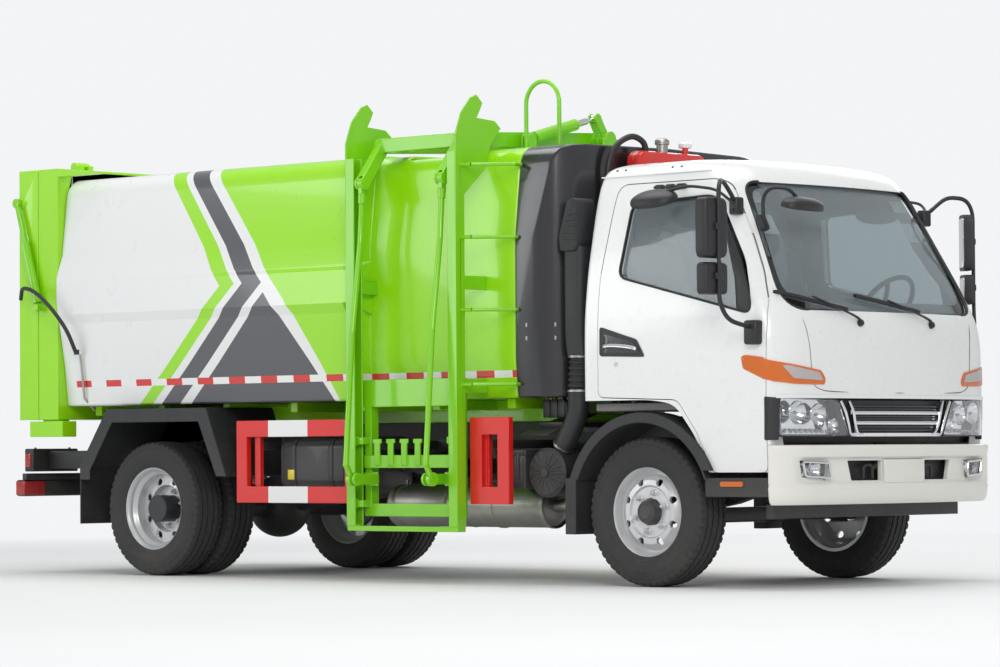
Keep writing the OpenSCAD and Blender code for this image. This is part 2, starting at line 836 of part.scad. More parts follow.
// Rear fender, right side: an angular hood over the twin tyres
module rear_fender() {
  t = 8;
  top = fender_top;
  outer_line = [[rear_axle - 655, 320], [rear_axle - 655, 690], [rear_axle - 400, top], [rear_axle + 520, top],
    [rear_axle + 700, 620]];
  inner_line = [[rear_axle + 690, 620], [rear_axle + 512, top - t], [rear_axle - 396, top - t],
    [rear_axle - 647, 686], [rear_axle - 647, 320]];
  face_line = [[rear_axle - 655, 600], [rear_axle - 655, 690], [rear_axle - 400, top], [rear_axle + 520, top],
    [rear_axle + 700, 620], [rear_axle + 610, 620], [rear_axle + 450, 960], [rear_axle - 350, 960],
    [rear_axle - 560, 660], [rear_axle - 560, 600]];
  along_y([-1135, -560]) polygon(concat(outer_line, inner_line));
  along_y([-1135, -1135 + t]) polygon(face_line);
}

module mudguards() {
  color("#26282b") on_truck() both_sides() {
    front_guard();
    rear_fender();
    slab([rear_axle - 40, rear_axle + 40], [-1100, -frame_half], [980, 1037]);
  }
}

module air_intake() {
  duct_x = [-600, -470];
  color("#202225") on_truck() {
    slab([-606, -470], [-990, -820], [1930, 2200]);
    bent_tube([[-540, -880, 1950], [-550, -880, 1400], [-560, -880, 1080], [-700, -900, 780]], 60);
    pin_y([-1000, -760], [-700, 640], 135);
    // Stay from the filter to the frame
    slab([-720, -680], [-760, -frame_half], [730, 770]);
    slab([-720, -680], [-800, -760], [600, 770]);
  }
}

module hydraulics() {
  color("#c8202a") on_truck() {
    // Oil tank behind the cab roof, on a stand from the frame
    along_x([-590, -480]) rounded_2d([-430, 2180], [190, 2505], 50);
    pin_z([2504, 2590], [-535, -160], 42);
    pin_z([2504, 2545], [-535, 50], 24);
    pin_z([2544, 2575], [-535, 50], 38);
    both_sides() slab([-560, -500], [340, 400], [rail_top, 2000]);
    slab([-560, -500], [-430, 400], [2000, 2180]);
    // Valve block beside the frame
    slab([-900, -720], [-820, -560], [955, 1045]);
    for (i = [0 : 2]) pin_y([-890, -820], [-870 + 60 * i, 1000], 14);
    slab([-900, -720], [-1000, -frame_half], [rail_top - 30, rail_top - 10]);
    slab([-830, -790], [-720, -680], [rail_top - 10, 955]);
  }
}

module side_tanks() {
  color("#2e3033") on_truck() {
    // Fuel tank, right side
    along_x([-2900, -2330]) rounded_2d([-1000, 530], [-frame_half, 860], 70);
    pin_z([860, 900], [-2800, -880], 45);
    // Battery box, right side
    slab([-1130, -890], [-980, -frame_half], [540, 772]);
    // Air tanks, left side
    pin_x([-2900, -2200], [620, 640], 120);
    both_sides() for (x = [-2800, -2300]) slab([x, x + 40], [frame_half, 560], [640, 800]);
    // Exhaust canister across the frame
    pin_x([-2260, -960], [-620, 440], 130);
    for (x = [-2100, -1200]) slab([x, x + 40], [-560, -frame_half], [560, 760]);
  }
}

// Side guard: two rails between two posts
module side_guard(rear, front) {
  t = 40;
  face = [-1130, -1130 + t];
  for (z = [[460, 560], [860, 960]]) slab([rear, front], face, z);
  slab([rear, rear + 90], face, [460, 960]);
  slab([front - 90, front], face, [460, 960]);
}

guard_bracket_x = [-3020, -2180, -1120];

// Whole on the left; on the right it leaves the lift free
module side_guards() {
  guard_rear = -3140;
  guard_front = -880;
  color("#d8231f") on_truck() {
    side_guard(guard_rear, lift_rear - 16);
    side_guard(lift_front + 16, guard_front);
    mirror([0, 1, 0]) side_guard(guard_rear, guard_front);
    both_sides() for (x = guard_bracket_x) slab([x, x + 50], [-1130 + 40, -1060], [460, 960]);
  }
}

// ---- body ----

function rear_half_line(t) = concat(
  [[0, body_floor + t], [rib_half - 100 - t, body_floor + t], [rib_half - 70 - t, 1320], [rib_half - t, 1740],
    [rib_half - t, 1890], [rib_half - 50 - t, 2040], [rib_half - 90 - t, body_roof_z - 130]],
  arc([rib_half - 220 - t, body_roof_z - 130 - t], 130, 6, 90, 6),
  [[0, body_roof_z + roof_rise - t]]);

function front_half_line(t) = concat(
  [[0, body_floor + t], [front_half - 20 - t, body_floor + t], [front_half - t, 1300], [front_half - t, 1980],
    [front_half - 30 - t, 2250]],
  arc([front_half - 170 - t, body_roof_z - 120 - t], 120, 6, 90, 6),
  [[0, body_roof_z + roof_rise - t]]);

feed_x = [lift_x - feed_l / 2, lift_x + feed_l / 2];
feed_span = [feed_y, feed_y + feed_w];

module tank_shell() {
  color("#7ed321") on_truck() difference() {
    union() {
      along_x([shell_rear, section_x]) polygon(mirrored(rear_half_line(0)));
      along_x([section_x - 1, body_front]) polygon(mirrored(front_half_line(0)));
    }
    along_x([shell_rear - 1, section_x - body_wall]) polygon(mirrored(rear_half_line(body_wall)));
    along_x([section_x - body_wall - 1, body_front + 1]) polygon(mirrored(front_half_line(body_wall)));
    slab(feed_x, feed_span, [body_roof_z - 300, body_roof_z + 50]);
  }
}

// Rounded plan of the head
module head_plan(t) {
  r = 300;
  x = head_front - t;
  y = front_half + 10 - t;
  polygon(concat(
    [[body_front - 10, -y]], arc([x - r, r - y], r, -90, 0, 10),
    arc([x - r, y - r], r, 0, 90, 10), [[body_front - 10, y]]));
}

module front_head() {
  color("#1b1c1f") on_truck() difference() {
    intersection() {
      along_x([body_front, head_front]) polygon(mirrored(front_half_line(0)));
      along_z([body_floor, body_roof_z + 20]) head_plan(0);
    }
    intersection() {
      along_x([body_front - 1, head_front - body_wall]) polygon(mirrored(front_half_line(body_wall)));
      along_z([body_floor, body_roof_z + 20]) head_plan(body_wall);
    }
  }
}

// Hinge lug with an eye, standing on a top face
module lug(y, axis, foot_z, reach) {
  along_y(y) {
    translate(axis) circle(r = gate_eye_r);
    translate([reach > 0 ? axis[0] : axis[0] + reach, foot_z]) square([abs(reach), axis[1] - foot_z + 8]);
  }
}

lug_ys = [-760, 760];

module body_frame() {
  bearer_x = [for (i = [0 : 6]) body_front - 60 - i * 600];
  color("#74c61e") on_truck() {
    // Long bearers on the chassis rails, and the cross bearers
    both_sides() slab([shell_rear, body_front - 20], [frame_half - flange_w, frame_half], [rail_top, body_floor]);
    for (x = bearer_x) slab([x - 60, x], [-(frame_half - flange_w), frame_half - flange_w],
      [rail_top + 40, body_floor]);
    both_sides() for (x = bearer_x)
      slab([x - 60, x], [frame_half, front_half - 60],
        [abs(x - rear_axle) < 700 ? fender_top + seat_gap : body_floor - 60, body_floor]);
  }
}

// Frame round the rear mouth, with the tailgate's hinge lugs and cylinder pins
module rear_ring() {
  color("#74c61e") on_truck() {
    difference() {
      union() {
        slab([gate_x, shell_rear], [-gate_half, gate_half], [gate_bottom, gate_top]);
        both_sides() along_y([gate_half - 60, gate_half])
          polygon([[shell_rear, body_roof_z + 16], [shell_rear + 390, body_roof_z + 16], [shell_rear, gate_top]]);
      }
      slab([gate_x - 1, shell_rear + 1], [-gate_half + 150, gate_half - 150],
        [gate_bottom + 140, gate_top - 160]);
    }
    both_sides() slab([gate_x - 90, shell_rear + 40], [gate_half - 120, gate_half], [gate_bottom - 110, gate_bottom - 10]);
    both_sides() slab([gate_x + 20, shell_rear - 20], [gate_half - 110, gate_half - 20], [gate_bottom - 10, gate_bottom]);
    // Hinge lugs with their pins
    for (c = lug_ys) {
      lug([c - 60, c - 20], gate_axis, gate_top, 60);
      lug([c + 20, c + 60], gate_axis, gate_top, 60);
      pin_y([c - 60, c + 60], gate_axis, gate_pin_r);
    }
    // Base pins of the tailgate cylinders
    both_sides() {
      pin_y([gate_half, gate_cyl_y[1] + 12], gate_base, gate_pin_r);
      pin_y([gate_cyl_y[1] + 2, gate_cyl_y[1] + 12], gate_base, gate_pin_r + 8);
    }
  }
}

module tailgate() {
  x = [tailgate_rear, tailgate_rear + tailgate_t];
  skin = 60;
  rib = 90;
  color("#7ed321") on_truck() {
    difference() {
      slab(x, [-gate_half, gate_half], [gate_bottom, gate_top]);
      // Four pressed fields in the outer face
      for (s = [0, 1], u = [0, 1])
        slab([x[0] - 1, x[0] + tailgate_t - skin],
          s > 0 ? [rib / 2, gate_half - 110] : [-gate_half + 110, -rib / 2],
          u > 0 ? [1830, gate_top - 120] : [gate_bottom + 120, 1830 - rib]);
    }
    difference() {
      for (c = lug_ys) lug([c - 18, c + 18], gate_axis, gate_top, -60);
      for (c = lug_ys) pin_y([c - 30, c + 30], gate_axis, gate_pin_r + run_fit);
    }
    // Ears beside the rod eyes
    both_sides() pin_y([gate_half, gate_cyl_y[0] - 5], gate_rod_pin, 34);
  }
}

function toward(a, b, d) = a + (b - a) * d / norm(b - a);

module cylinder_barrel(base, tip, y, length, r) {
  start = toward(base, tip, 30);
  end = toward(base, tip, length);
  mid = (y[0] + y[1]) / 2;
  difference() {
    union() {
      pin_y(y, base, 28);
      link([start[0], mid, start[1]], [end[0], mid, end[1]], r);
      link([base[0], mid, base[1]], [start[0], mid, start[1]], 14);
    }
    pin_y([y[0] - 20, y[1] + 20], base, gate_pin_r + run_fit);
    link_bore(base, tip, mid, 90, length + 2, 18 + run_fit);
  }
}

module link_bore(base, tip, mid, from, to, r) {
  a = toward(base, tip, from);
  b = toward(base, tip, to);
  link([a[0], mid, a[1]], [b[0], mid, b[1]], r);
}

gate_barrel_l = 440;
gate_cyl_r = 30;

module tailgate_barrels() {
  color("#8a8f94") on_truck() both_sides()
    cylinder_barrel(gate_base, gate_rod_pin, [-gate_cyl_y[1], -gate_cyl_y[0]], gate_barrel_l, gate_cyl_r);
}

module tailgate_rods() {
  mid = -(gate_cyl_y[0] + gate_cyl_y[1]) / 2;
  color("#d5d8da") on_truck() both_sides() {
    link_bore(gate_base, gate_rod_pin, mid, 95, norm(gate_rod_pin - gate_base), 18);
    pin_y([-gate_cyl_y[1], -gate_cyl_y[0]], gate_rod_pin, 30);
  }
}

// ---- side lift ----

// Curved hook plate on top of a rail, in a plane across the truck
module hook_plate() {
  y = rail_face;
  polygon([[y, 1900], [y, 2590], [y + 50, 2720], [y + 130, 2815], [y + 185, 2835], [y + 235, 2790],
    [y + 210, 2740], [y + 185, 2700], [y + 340, 2690], [y + 390, 2650], [y + 300, 2545], [y + 285, 2500],
    [y + 250, 2400], [y + rail_d, 2250], [y + rail_d, 1900]]);
}

module rail_channel(web_x, open_x) {
  t = plate_t;
  y = [rail_face, rail_face + rail_d];
  x = [min(web_x, open_x), max(web_x, open_x)];
  difference() {
    slab(x, y, [rail_foot, 2500]);
    slab(open_x > web_x ? [x[0] + t, x[1] + 1] : [x[0] - 1, x[1] - t], [y[0] + t, y[1] - t],
      [rail_foot + t, 2501]);
  }
  along_x(open_x > web_x ? [web_x, web_x + t] : [web_x - t, web_x]) hook_plate();
}

module lift_rails() {
  rung_zs = [1150, 1580, 2000, 2420];
  front_web = lift_front;
  rear_web = lift_rear;
  color("#7ed321") on_truck() {
    rail_channel(rear_web, rear_web + rail_w);
    rail_channel(front_web, front_web - rail_w);
    // Bottom tie, and the stays that hold the rails to the body
    slab([rear_web, front_web], [rail_face + 5, rail_face + rail_d - 5], [rail_foot - 30, rail_foot]);
    for (x = [rear_web, front_web - plate_t], z = [1100, 1700])
      slab([x, x + plate_t], [rail_face + rail_d, -front_half - seat_gap], [z, z + 80]);
    // Ladder rungs from the front rail to the head
    for (z = rung_zs)
      bent_tube([[front_web - 4, rail_face + 50, z], [front_web + 60, rail_face + 60, z], [body_front + 20, -front_half - 20, z],
        [body_front + 20, -front_half + 40, z]], 11);
  }
}

// Grab hoop, swing arm ears and lift cylinder bracket on the roof
module roof_brackets() {
  ear_t = 16;
  front_web = lift_front;
  pin_end = 45;
  hoop_y = -620;
  tube_x = [lift_x - arm_x - arm_w / 2, lift_x + arm_x + arm_w / 2 + 110];
  color("#7ed321") on_truck() {
    // Grab hoop
    for (x = [front_web + 10, body_front + 50]) pin_z([roof_z(hoop_y + 13) + 0.2, body_roof_z + 270], [x, hoop_y], 13);
    hoop_r = (body_front + 50 - front_web - 10) / 2;
    translate([front_web + 10 + hoop_r, hoop_y, body_roof_z + 270])
      rotate([90, 0, 0]) difference() {
        rotate_extrude() translate([hoop_r, 0]) circle(r = 13, $fn = 24);
        translate([-200, -400, -50]) cube([400, 400, 100]);
      }
    // Ears and pins that carry the swing arm
    for (x = [tube_x[0] - ear_t - seat_gap, tube_x[1] + seat_gap])
      along_x([x, x + ear_t]) {
        translate([pivot_y, pivot_z]) circle(r = 45);
        translate([pivot_y - 70, roof_z(pivot_y - 70)]) square([140, pivot_z - roof_z(pivot_y - 70)]);
      }
    pin_x([tube_x[0] - ear_t, tube_x[0] + pin_end], [pivot_y, pivot_z], 20);
    pin_x([tube_x[1] - pin_end, tube_x[1] + ear_t], [pivot_y, pivot_z], 20);
    slab([tube_x[1] - 60, tube_x[1] + 120], [pivot_y - 90, pivot_y + 210], [roof_z(0), roof_z(0) + 12]);
    // Base bracket of the lift cylinder
    for (s = [-1, 1])
      along_x(s > 0 ? [cyl_x + 20, cyl_x + 32] : [cyl_x - 32, cyl_x - 20]) {
        translate(cyl_base) circle(r = 34);
        translate([cyl_base[0] - 36, roof_z(cyl_base[0] + 36)]) square([72, cyl_base[1] - roof_z(cyl_base[0] + 36)]);
      }
    pin_x([cyl_x - 32, cyl_x + 32], cyl_base, gate_pin_r);
  }
}

// One side arm of the swing arm, in a plane across the truck
module arm_side() {
  crank = [elbow_y + 175, pivot_z - 60];
  flat_link([pivot_y, pivot_z], crank, arm_h);
  translate(crank) circle(r = arm_h / 2 + 2);
  flat_link(crank, [elbow_y, elbow_z], arm_h * 0.8);
  translate([elbow_y, elbow_z]) circle(r = 40);
}

module swing_arm() {
  tube_r = 35;
  beam_h = arm_h - 8;
  beam_y = elbow_y + 175;
  tube_x = [lift_x - arm_x - arm_w / 2, lift_x + arm_x + arm_w / 2 + 110];
  lever_gap = 19;
  lever_t = 12;
  color("#7ed321") on_truck() {
    difference() {
      union() {
        for (s = [-1, 1])
          along_x([lift_x + s * arm_x - arm_w / 2, lift_x + s * arm_x + arm_w / 2]) arm_side();
        pin_x(tube_x, [pivot_y, pivot_z], tube_r);
        slab([lift_x - arm_x, lift_x + arm_x], [beam_y - 36, beam_y + 36],
          [pivot_z - 60 - beam_h / 2, pivot_z - 60 + beam_h / 2]);
        for (s = [-1, 1])
          along_x([cyl_x + s * (lever_gap + lever_t / 2) - lever_t / 2, cyl_x + s * (lever_gap + lever_t / 2) + lever_t / 2])
            lever_outline();
      }
      for (s = [-1, 1])
        along_x([lift_x + s * arm_x - 15.3, lift_x + s * arm_x + 15.3])
          translate([elbow_y, elbow_z]) arm_fork_cut();
      pin_x([tube_x[0] - 1, tube_x[1] + 1], [pivot_y, pivot_z], 20 + run_fit);
    }
    // Elbow pins
    for (s = [-1, 1])
      pin_x([lift_x + s * arm_x - arm_w / 2, lift_x + s * arm_x + arm_w / 2], [elbow_y, elbow_z], 16);
  }
}

// Slot for the rod's eye in the end of an arm, open downward and outward
module arm_fork_cut() {
  circle(r = 42);
  translate([-120, -160]) square([162, 160]);
  translate([-120, -42]) square([120, 84]);
}

module lever_outline() {
  translate([pivot_y, pivot_z]) circle(r = 42);
  flat_link([pivot_y, pivot_z], lever_pin, 56);
  translate(lever_pin) circle(r = 31);
}

module pull_rods() {
  eye_t = 15;
  x_off = arm_x;
  kink = [carriage_pin[0] - 50, carriage_pin[1] + 85];
  waist = [elbow_y - 20, elbow_z - 350];
  knee = [elbow_y - 90, elbow_z - 880];
  color("#86d92a") on_truck() for (s = [-1, 1]) {
    x = lift_x + s * x_off;
    difference() {
      union() {
        pin_x([x - eye_t, x + eye_t], [elbow_y, elbow_z], 34);
        slab([x - eye_t, x + eye_t], [elbow_y - 20, elbow_y + 15], [elbow_z - 80, elbow_z - 20]);
        link([x, elbow_y - 3, elbow_z - 62], [x, elbow_y - 5, elbow_z - 120], rod_r + 6);
        bent_tube([[x, elbow_y - 4, elbow_z - 100], [x, waist[0], waist[1]], [x, knee[0], knee[1]],
          [x, kink[0], kink[1]], [x, carriage_pin[0], carriage_pin[1]]], rod_r);
        pin_x([x - eye_t, x + eye_t], carriage_pin, 40);
      }
      pin_x([x - 40, x + 40], [elbow_y, elbow_z], 16 + run_fit);
    }
  }
}

module carriage() {
  face = [-1130, -1065];
  x = [lift_rear + plate_t + 8, lift_front - plate_t - 8];
  post = 55;
  top = [1030, 1190];
  low = [385, 460];
  comb = [670, 745];
  t = 8;
  hook_x = [for (i = [0 : hook_count - 1]) lift_x - 90 + 110 * (i - (hook_count - 1) / 2)];
  roller_z = [430, 800];
  guide_y = rail_face + rail_d / 2;
  ear_x = arm_x - 45;
  color("#7ed321") on_truck() {
    for (px = [[x[0] + 45, x[0] + 45 + post], [x[1] - 45 - post, x[1] - 45]]) slab(px, face, [low[0], top[1]]);
    slab(x, [face[0], face[0] + t], top);
    slab([x[0] + 45, x[1] - 45], [face[0] + t, face[1]], [top[1] - t, top[1]]);
    slab([x[0] + 45, x[1] - 45], [face[0], face[0] + 50], low);
    slab([lift_rear + rail_w + 8, lift_front - rail_w - 8], [face[0] - 20, face[0]], comb);
    slab([x[0] + 45, x[1] - 45], [face[0], face[0] + 40], comb);
    // Upturned bin hooks
    for (hx = hook_x) {
      slab([hx - 22, hx + 22], [face[0] - 32, face[0] - 19], [comb[0] + 15, 830]);
      slab([hx - 34, hx + 34], [face[0] - 32, face[0] - 21], [815, 840]);
    }
    // Guide blocks that run in the rail channels, on arms from the posts
    for (z = roller_z, s = [-1, 1]) {
      edge = s > 0 ? [lift_front - plate_t - seat_gap - 40, lift_front - plate_t - seat_gap]
        : [lift_rear + plate_t + seat_gap, lift_rear + plate_t + seat_gap + 40];
      slab(edge, [guide_y - 18, guide_y + 18], [z, z + 60]);
      slab(s > 0 ? [lift_front - rail_w - 40, lift_front - rail_w + 30]
        : [lift_rear + rail_w - 30, lift_rear + rail_w + 40], [guide_y - 10, guide_y + 10], [z + 10, z + 50]);
      slab(s > 0 ? [lift_front - rail_w - 40, lift_front - rail_w - move_gap]
        : [lift_rear + rail_w + move_gap, lift_rear + rail_w + 40], [guide_y - 10, face[0] + 5], [z + 10, z + 50]);
    }
    // Ears beside the pull rods' lower eyes
    for (s = [-1, 1])
      along_x(s > 0 ? [lift_x + ear_x - 8, lift_x + ear_x + 8] : [lift_x - ear_x - 8, lift_x - ear_x + 8]) {
        translate(carriage_pin) circle(r = 38);
        translate([carriage_pin[0], carriage_pin[1] - 30]) square([face[0] - carriage_pin[0] + 5, 60]);
      }
    for (s = [-1, 1])
      slab(s > 0 ? [lift_x + ear_x - 8, x[1] - 50] : [x[0] + 50, lift_x - ear_x + 8],
        [face[0] - 10, face[0]], [carriage_pin[1] - 40, carriage_pin[1] + 40]);
  }
}

lift_barrel_l = 430;

module lift_cylinder_axis(from, to, r) {
  a = toward(cyl_base, lever_pin, from);
  b = toward(cyl_base, lever_pin, to);
  link([cyl_x, a[0], a[1]], [cyl_x, b[0], b[1]], r);
}

module lift_barrel() {
  color("#7ed321") on_truck() difference() {
    union() {
      pin_x([cyl_x - 18, cyl_x + 18], cyl_base, 28);
      lift_cylinder_axis(0, 52, 16);
      lift_cylinder_axis(50, lift_barrel_l, 35);
    }
    pin_x([cyl_x - 30, cyl_x + 30], cyl_base, gate_pin_r + run_fit);
    lift_cylinder_axis(70, lift_barrel_l + 2, 20 + run_fit);
  }
}

module lift_rod() {
  color("#d5d8da") on_truck() {
    lift_cylinder_axis(75, norm(lever_pin - cyl_base) - 80, 20);
    lift_cylinder_axis(100, norm(lever_pin - cyl_base), 11);
    pin_x([cyl_x - 12, cyl_x + 12], lever_pin, 26);
  }
}

// ---- mirrors ----

// The arm stands on the door's skin
module mirror_arm() {
  color("#1a1b1d") on_truck() difference() {
    mirror_arm_solid();
    cab_volume(-seat_gap, -seat_gap, cab_floor);
  }
}

module mirror_arm_solid() {
  tube_y = -cab_half - 200;
  tube_x = 760;
  union() {
    bent_tube([[598, -cab_half + 110, 2092], [640, tube_y + 60, 2230], [tube_x, tube_y, 2180], [tube_x, tube_y, 1480],
      [800, -cab_half - 30, 1400]], 13);
    slab([780, 860], [-cab_half - 40, -cab_half + 10], [1330, 1450]);
    // Main and wide-angle mirror housings
    along_z([1830, 2150]) rounded_2d([tube_x - 60, tube_y - 110], [tube_x - 14, tube_y + 80], 18);
    along_z([1610, 1780]) rounded_2d([tube_x - 60, tube_y - 100], [tube_x - 14, tube_y + 80], 18);
    for (z = [1990, 1695]) slab([tube_x - 16, tube_x + 4], [tube_y - 14, tube_y + 14], [z - 20, z + 20]);
    slab([576, 622], [-cab_half + 70, -cab_half + 120], [2066, 2118]);
    // Kerb mirror over the window
    link([596, -cab_half + 84, 2100], [250, -cab_half - 60, 2190], 9);
    translate([240, -cab_half - 90, 2150]) rotate([20, 0, 0]) cylinder(h = 50, r1 = 80, r2 = 110, center = true);
  }
}

// ---- handed copies ----

module mirror_right() { mirror_arm(); }
module mirror_left() { mirror([0, 1, 0]) mirror_arm(); }

module door_right() {
  door();
  door_handle();
}

module door_left() {
  mirror([0, 1, 0]) {
    door();
    door_handle();
  }
}

module glass_right() { door_glass(); }
module glass_left() { mirror([0, 1, 0]) door_glass(); }
module knuckle_right() { knuckle(); }
module knuckle_left() { mirror([0, 1, 0]) knuckle(); }
module tyre_front_right() { tyre_front(); }
module tyre_front_left() { mirror([0, 1, 0]) tyre_front(); }
module rim_front_right() { rim_front(); }
module rim_front_left() { mirror([0, 1, 0]) rim_front(); }
module tyres_rear_right() { tyres_rear(); }
module tyres_rear_left() { mirror([0, 1, 0]) tyres_rear(); }
module rims_rear_right() { rims_rear(); }
module rims_rear_left() { mirror([0, 1, 0]) rims_rear(); }

chassis_frame();
body_frame();
rear_ring();
engine();
front_axle();
rear_axle();
cab_shell();
cab_glass();
cab_interior();
grille();
lamps();
bumpers();
windscreen_fittings();
mudguards();
air_intake();
hydraulics();
side_tanks();
side_guards();
tank_shell();
front_head();
lift_rails();
roof_brackets();
knuckle_right();
knuckle_left();
tyre_front_right();
rim_front_right();
tyre_front_left();
rim_front_left();
tyres_rear_right();
rims_rear_right();
tyres_rear_left();
rims_rear_left();
steering_wheel();
door_right();
glass_right();
mirror_right();
door_left();
glass_left();
mirror_left();
tailgate();
tailgate_barrels();
tailgate_rods();
swing_arm();
pull_rods();
carriage();
lift_barrel();
lift_rod();
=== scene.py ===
import json
import math
from types import SimpleNamespace

import bmesh
import bpy
import numpy as np
from mathutils import Matrix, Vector
from mathutils.bvhtree import BVHTree
from mathutils.geometry import delaunay_2d_cdt


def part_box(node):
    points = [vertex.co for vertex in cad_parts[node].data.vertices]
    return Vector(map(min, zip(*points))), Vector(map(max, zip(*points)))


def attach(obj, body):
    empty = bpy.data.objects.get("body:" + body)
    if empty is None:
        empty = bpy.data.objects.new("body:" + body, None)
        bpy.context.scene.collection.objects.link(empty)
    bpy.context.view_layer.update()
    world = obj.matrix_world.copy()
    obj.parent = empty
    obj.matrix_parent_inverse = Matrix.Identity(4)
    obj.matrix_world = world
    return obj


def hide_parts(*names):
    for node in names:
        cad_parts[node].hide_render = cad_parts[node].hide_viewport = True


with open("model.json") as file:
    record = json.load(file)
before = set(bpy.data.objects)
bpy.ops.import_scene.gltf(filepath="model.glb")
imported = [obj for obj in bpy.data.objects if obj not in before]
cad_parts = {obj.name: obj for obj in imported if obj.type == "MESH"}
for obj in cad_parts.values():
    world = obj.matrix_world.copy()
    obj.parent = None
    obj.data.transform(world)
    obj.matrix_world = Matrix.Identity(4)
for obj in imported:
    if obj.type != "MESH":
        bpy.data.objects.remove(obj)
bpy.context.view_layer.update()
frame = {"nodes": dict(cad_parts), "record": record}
behaviour = frame["record"]["behaviour"]
bodyOf = {node: body for body, nodes in behaviour["bodies"].items() for node in nodes}
wheelLow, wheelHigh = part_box("tyre_front_right")
axleX = (wheelLow.x + wheelHigh.x) / 2   # places along the truck are counted from the front axle
axleZ = (wheelLow.z + wheelHigh.z) / 2


# camera

cameraSetup = {"x": 13.7556, "y": -17.0877, "z": 0.7676, "yaw": 0.7443, "pitch": 0.0309, "roll": -0.0066,
    "focal": 136.4, "sensor": 36.0}


def makeCamera(setup):
    # view direction from yaw and pitch; the right and up directions are then turned by the roll
    yaw, pitch, roll = setup["yaw"], setup["pitch"], setup["roll"]
    forward = np.array([-math.sin(yaw) * math.cos(pitch), math.cos(yaw) * math.cos(pitch), math.sin(pitch)])
    level = np.array([math.cos(yaw), math.sin(yaw), 0.0])
    up0 = np.cross(level, forward)
    right = math.cos(roll) * level + math.sin(roll) * up0
    up = -math.sin(roll) * level + math.cos(roll) * up0
    lens = bpy.data.cameras.new("camera")
    lens.sensor_width = setup["sensor"]
    lens.lens = setup["focal"]
    lens.clip_end = 2000
    camera = bpy.data.objects.new("camera", lens)
    bpy.context.scene.collection.objects.link(camera)
    columns = np.column_stack([right, up, -forward])
    camera.matrix_world = Matrix([list(columns[0]) + [setup["x"] + axleX], list(columns[1]) + [setup["y"]],
        list(columns[2]) + [setup["z"]], [0, 0, 0, 1]])
    bpy.context.scene.camera = camera


makeCamera(cameraSetup)


# shader helpers; a sheet holds one material's node tree, its shader and the place on the piece

def give(sheet, socket, value):
    if isinstance(value, bpy.types.NodeSocket):
        sheet.tree.links.new(value, socket)
    else:
        socket.default_value = value


def put(sheet, kind, sockets=None, **settings):
    node = sheet.tree.nodes.new(kind)
    for key, value in settings.items():
        setattr(node, key, value)
    for key, value in (sockets or {}).items():
        give(sheet, node.inputs[key], value)
    return node


def feed(sheet, sockets):
    for key, value in sockets.items():
        give(sheet, sheet.shader.inputs[key], value)


def calc(sheet, operation, a, b=0.0, clamp=False):
    return put(sheet, "ShaderNodeMath", {0: a, 1: b}, operation=operation, use_clamp=clamp).outputs[0]


def times(sheet, a, b, clamp=False):
    return calc(sheet, "MULTIPLY", a, b, clamp)


def above(sheet, a, b):
    return calc(sheet, "GREATER_THAN", a, b)


def below(sheet, a, b):
    return calc(sheet, "LESS_THAN", a, b)


def axesOf(sheet, vector=None):
    return put(sheet, "ShaderNodeSeparateXYZ", {"Vector": vector or sheet.where}).outputs


def blendColour(sheet, amount, a, b):
    return put(sheet, "ShaderNodeMix", {0: amount, 6: a, 7: b}, data_type="RGBA").outputs[2]


def rgba(colour, factor=1.0):
    return (*[min(1.0, c * factor) for c in colour], 1.0)


def noiseOf(sheet, scale, detail=4.0, rough=0.55, where=None):
    return put(sheet, "ShaderNodeTexNoise", {"Vector": where or sheet.where, "Scale": scale,
        "Detail": detail, "Roughness": rough}).outputs["Fac"]


def waveOf(sheet, direction, scale, distortion=0.0):
    return put(sheet, "ShaderNodeTexWave", {"Vector": sheet.where, "Scale": scale,
        "Distortion": distortion}, bands_direction=direction).outputs["Fac"]


def spread(sheet, value, low, high, toLow=0.0, toHigh=1.0):
    return put(sheet, "ShaderNodeMapRange", {"Value": value, "From Min": low, "From Max": high,
        "To Min": toLow, "To Max": toHigh}, clamp=True).outputs["Result"]


def startMaterial(name):
    material = bpy.data.materials.new(name)
    material.use_nodes = True
    sheet = SimpleNamespace(material=material, tree=material.node_tree)
    sheet.shader = sheet.tree.nodes["Principled BSDF"]
    sheet.where = put(sheet, "ShaderNodeTexCoord").outputs["Object"]
    return sheet


def roadDirt(sheet, colour, strength, reach=1.0):
    # dusty film: noise that grows toward the ground
    low = spread(sheet, axesOf(sheet)["Z"], 0.15, reach, 1.0, 0.0)
    cloud = spread(sheet, noiseOf(sheet, 2.2, 3.0), 0.3, 0.85)
    speck = spread(sheet, noiseOf(sheet, 46.0, 2.0), 0.45, 0.9)
    film = times(sheet, low, calc(sheet, "ADD", times(sheet, cloud, 0.75), times(sheet, speck, 0.35)), True)
    return blendColour(sheet, times(sheet, film, strength), colour, rgba((0.23, 0.2, 0.165)))


def bumpOf(sheet, height, strength, distance):
    bump = put(sheet, "ShaderNodeBump", {"Height": height, "Strength": strength, "Distance": distance})
    feed(sheet, {"Normal": bump.outputs["Normal"]})
    return sheet.material


def paintOf(name, colour, rough=0.3, coat=0.5, dirt=0.12, reach=1.1, metal=0.0, ripple=0.0006,
        mottled=0.05):
    # sprayed paint: faint mottling, orange peel, a clear coat and a little road film
    sheet = startMaterial(name)
    tone = blendColour(sheet, noiseOf(sheet, 1.7, 2.0), rgba(colour, 1 - 2 * mottled),
        rgba(colour, 1 + mottled))
    feed(sheet, {"Base Color": roadDirt(sheet, tone, dirt, reach), "Metallic": metal, "Coat Weight": coat,
        "Coat Roughness": 0.08, "Roughness": spread(sheet, noiseOf(sheet, 9.0, 1.5), 0.2, 0.8, rough * 0.92,
        rough * 1.1)})
    return bumpOf(sheet, noiseOf(sheet, 210.0, 2.0), 0.35, ripple)


